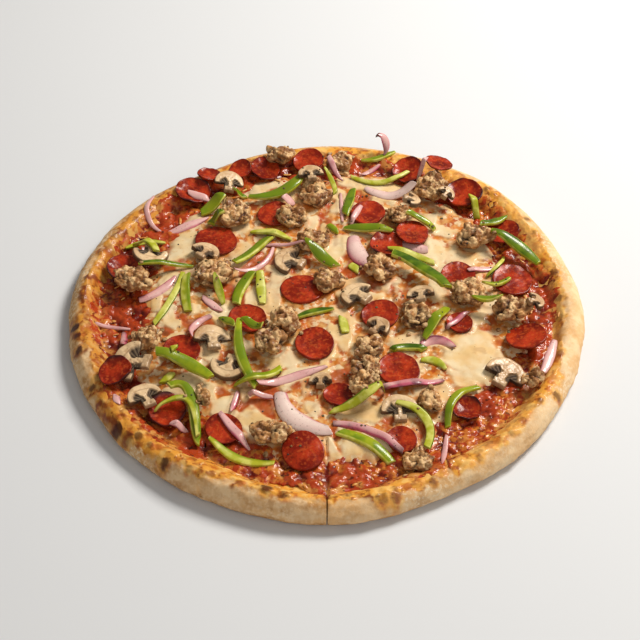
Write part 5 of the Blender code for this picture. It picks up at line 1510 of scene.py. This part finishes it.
def onion_rings(entry, level, seed):
    """A strip or petal: a thin band with crisp edges, arched across, with the skin at one edge. A strip
    narrows to a point at both tips and lies on its side a little; a petal is blunt and pale."""
    points, width, purple = entry
    petal = width >= 9
    most_roll = 0 if petal else 24 if seed > LARGE_SEEDS else 8
    roll = math.radians(most_roll * math.sin(2.3 * seed + width))
    tips = (0.55 + 0.25 * math.sin(1.7 * seed), 0.6 + 0.25 * math.sin(2.9 * seed))
    tips = (0.45, 0.45) if petal else tips
    arch = (0.16 if petal else 0.10) * width
    rings, across, _, along = strip_rings(
        points, level, width, ONION_THICKNESS, arch, 0.62, roll, tips, seed)
    side = 1.0 if int(seed) % 2 else -1.0
    edge = ramp(side * across + 0.12 * waves(along * 30, seed, 0.0, 9.0, 2), 0.70 - 0.55 * purple, 1.02)
    tint = 0.70 * purple * ramp(waves(along * 30, across * 4, seed, 10.0, 2), -0.8, 0.7)
    blush = np.clip(edge * (0.55 + 0.45 * purple) + tint, 0.0, 0.96)
    lines = 0.5 + 0.5 * np.sin(across * 0.5 * width * 3.2 + 0.9 * waves(along * 20, seed, 0.0, 6.0, 2))
    white = np.clip((0.95 - 1.1 * purple if petal else 0.25) * (1.0 - 0.8 * edge) + 0.25 * lines, 0.0, 1.0)
    scorch = ramp(np.abs(2 * along - 1), 0.84, 1.0) * (0.65 if purple > 0.7 else 0.15)
    return rings, blush, white, scorch


onion_look = onion_finish()
lay_strips("onion", ONION, onion_rings, thickness=ONION_SOLID_THICKNESS, arch_share=0.12, look=onion_look,
           name="onion_petal", tone_names=ONION_TONES)

# The small toppings, laid over the large ones in the order in which they were thrown on.

lay_small("pepperoni", small_pepperoni, pepperoni_look, "pepperoni_small", PEPPERONI_TONES,
          steepest=0.2, sunk=0.6)
lay_small("sausage", small_sausage, sausage_look, "sausage_small", SAUSAGE_TONES,
          steepest=0.2, sunk=1.5)
lay_small("mushroom", small_mushroom, mushroom_look, "mushroom_small", MUSHROOM_TONES,
          steepest=0.25, sunk=0.8)
drape_small(ONION[SEPARATE["onion"]:], onion_rings, tightest=22.0, look=onion_look, name="onion_small",
            tone_names=ONION_TONES, sunk=0.3, tucked=(13,))
drape_small(PEPPER[SEPARATE["pepper"]:], pepper_rings, tightest=75.0, look=pepper_look, name="pepper_small",
            tone_names=PEPPER_TONES, sunk=0.5)


def curl_rings():
    """The ring end that stands up: the band's middle follows its solid from the cheese to its tip."""
    path = path_through(ONION_CURL, np.linspace(0, 1, PATH_STEPS))
    level = smoothed(solid_levels("onion_curl", path), 10) - ONION_SOLID_THICKNESS - CURL_ARCH
    return onion_rings((ONION_CURL, CURL_WIDTH, CURL_PURPLE), level, 5.0)


curl, blush, white, scorch = curl_rings()
tip = ramp(np.linspace(0, 1, STRIP_STEPS)[:, None], 0.72, 0.95)
curl_piece = closed_form("onion_curl_end", curl, onion_look, purple=blush, white=white,
                         scorch=np.maximum(scorch, tip))
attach(curl_piece, "root")
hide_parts("onion_curl")

# Seasoning and crumbs. Coarse black pepper and dried herbs shaken over everything, crumbs of sausage
# that broke off beside the chunks, and shreds of cheese that baked golden out on the sauce.

PEPPERCORN = (0.016, 0.011, 0.008)
PEPPERCORN_HUSK = (0.055, 0.032, 0.020)
HERB = (0.07, 0.058, 0.014)
HERB_DRY = (0.12, 0.072, 0.02)
SHRED_GOLD = (0.64, 0.23, 0.035)
SHRED_PALE = (0.76, 0.42, 0.12)
STREWN_REACH = 138.0


def crumb_rings(places, size, seed, flat=0.7):
    """Small uneven grains: balls of a few dozen faces, each pulled out of round in its own way."""
    fall = np.linspace(0.4, math.pi - 0.4, 6)[None, :, None]
    turn = np.linspace(0.0, 2 * math.pi, 9, endpoint=False)[None, None, :]
    number = np.arange(len(places))[:, None, None]
    out = 1.0 + 0.45 * relief(np.cos(turn) * 1.8 + number * 3.1 + seed, np.sin(turn) * 1.8, fall * 1.6)
    radius = size[:, None, None] * out
    x = places[:, 0, None, None] + radius * np.sin(fall) * np.cos(turn)
    y = places[:, 1, None, None] + radius * np.sin(fall) * np.sin(turn)
    z = places[:, 2, None, None] + radius * np.cos(fall) * flat
    return np.stack(np.broadcast_arrays(x, y, z), axis=-1)


def strewn(count, furthest, seed):
    """Random places on the pizza, even over its area, each at the level of what lies there."""
    luck = np.random.default_rng(seed)
    radius = furthest * np.sqrt(luck.random(count))
    theta = 2 * math.pi * luck.random(count)
    x, y = radius * np.cos(theta), radius * np.sin(theta)
    return np.stack([x, y, looked_up(ground, x, y)], axis=1), luck.random(count)


def beside_chunks(count, seed):
    """Random places just outside the sausage chunks, each at the level of what lies there."""
    luck = np.random.default_rng(seed)
    chunk = np.array(SAUSAGE)[luck.integers(0, len(SAUSAGE), count)]
    theta = 2 * math.pi * luck.random(count)
    radius = 0.5 * chunk[:, 3] + 7.0 * luck.random(count) ** 1.5
    x = chunk[:, 0] * GRID_X + radius * np.cos(theta)
    y = chunk[:, 1] * GRID_Y + GRID_SHIFT + radius * np.sin(theta)
    return np.stack([x, y, looked_up(ground, x, y)], axis=1), luck.random(count)


def shred_rings(count, seed):
    """Thin bent strands that lie along the sauce and the rim's foot, sagging onto what is there: each
    one's middle runs a length s from its place, and turns by its bend times s."""
    luck = np.random.default_rng(seed)
    theta = 2 * math.pi * luck.random(count)
    out = 138.0 + 26.0 * luck.random(count)
    heading = math.pi * 2 * luck.random(count)[:, None]
    length = 3.0 + 5.0 * luck.random(count)[:, None] ** 1.5
    bend = 0.20 * (luck.random(count)[:, None] - 0.5)
    s = np.linspace(-0.5, 0.5, 10) * length
    x = (out * np.cos(theta))[:, None] + s * np.cos(heading + bend * s)
    y = (out * np.sin(theta))[:, None] + s * np.sin(heading + bend * s)
    z = looked_up(blurred(bare_ground, 2), x, y) + 0.5 * (out < rim_foot(theta) + 2)[:, None]
    end = 1.0 - 0.75 * np.abs(2 * s / length) ** 4
    half = (0.55 + 0.45 * luck.random(count)[:, None]) * end
    turn = np.linspace(0.0, 2 * math.pi, 8, endpoint=False)
    across = half[..., None] * np.cos(turn)
    px = x[..., None] - across * np.sin(heading + 2 * bend * s)[..., None]
    py = y[..., None] + across * np.cos(heading + 2 * bend * s)[..., None]
    pz = z[..., None] + 0.15 - 0.45 * np.sin(turn) * end[..., None] + 0.12 * waves(px, py, 0.0, 2.5, 2)
    return np.stack([px, py, pz], axis=-1)


def plain_finish(name, colour, other, roughness, coat=0.0):
    """One colour with patches of another."""
    look = Finish(name, roughness, coat=coat)
    return look.done(look.mixed(look.flecks(420, 0.5, 0.1), colour, other))


places, luck = strewn(190, STREWN_REACH, 11)
specks = closed_form("ground_pepper", crumb_rings(places, 0.26 + 0.44 * luck ** 2, 1.0),
                     plain_finish("cracked_pepper", PEPPERCORN, PEPPERCORN_HUSK, 0.6))
places, luck = strewn(40, STREWN_REACH, 23)
herbs = closed_form("dried_herbs", crumb_rings(places, 0.5 + 0.6 * luck, 2.0, flat=0.35),
                    plain_finish("dried_herb", HERB, HERB_DRY, 0.7))
places, luck = beside_chunks(130, 37)
# The crumbs take a fixed share of painted shade.
crumbs = closed_form("sausage_crumbs", crumb_rings(places, 0.7 + 1.6 * luck ** 2, 3.0), sausage_look,
                     lump=luck[:, None, None], crack=0.35)
shreds = closed_form("cheese_shreds", shred_rings(90, 53),
                     plain_finish("baked_shred", SHRED_GOLD, SHRED_PALE, 0.4, 0.2))
for piece, slot in ((specks, "sausage"), (herbs, "pepper"), (crumbs, "sausage"), (shreds, "cheese")):
    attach(piece, "root")
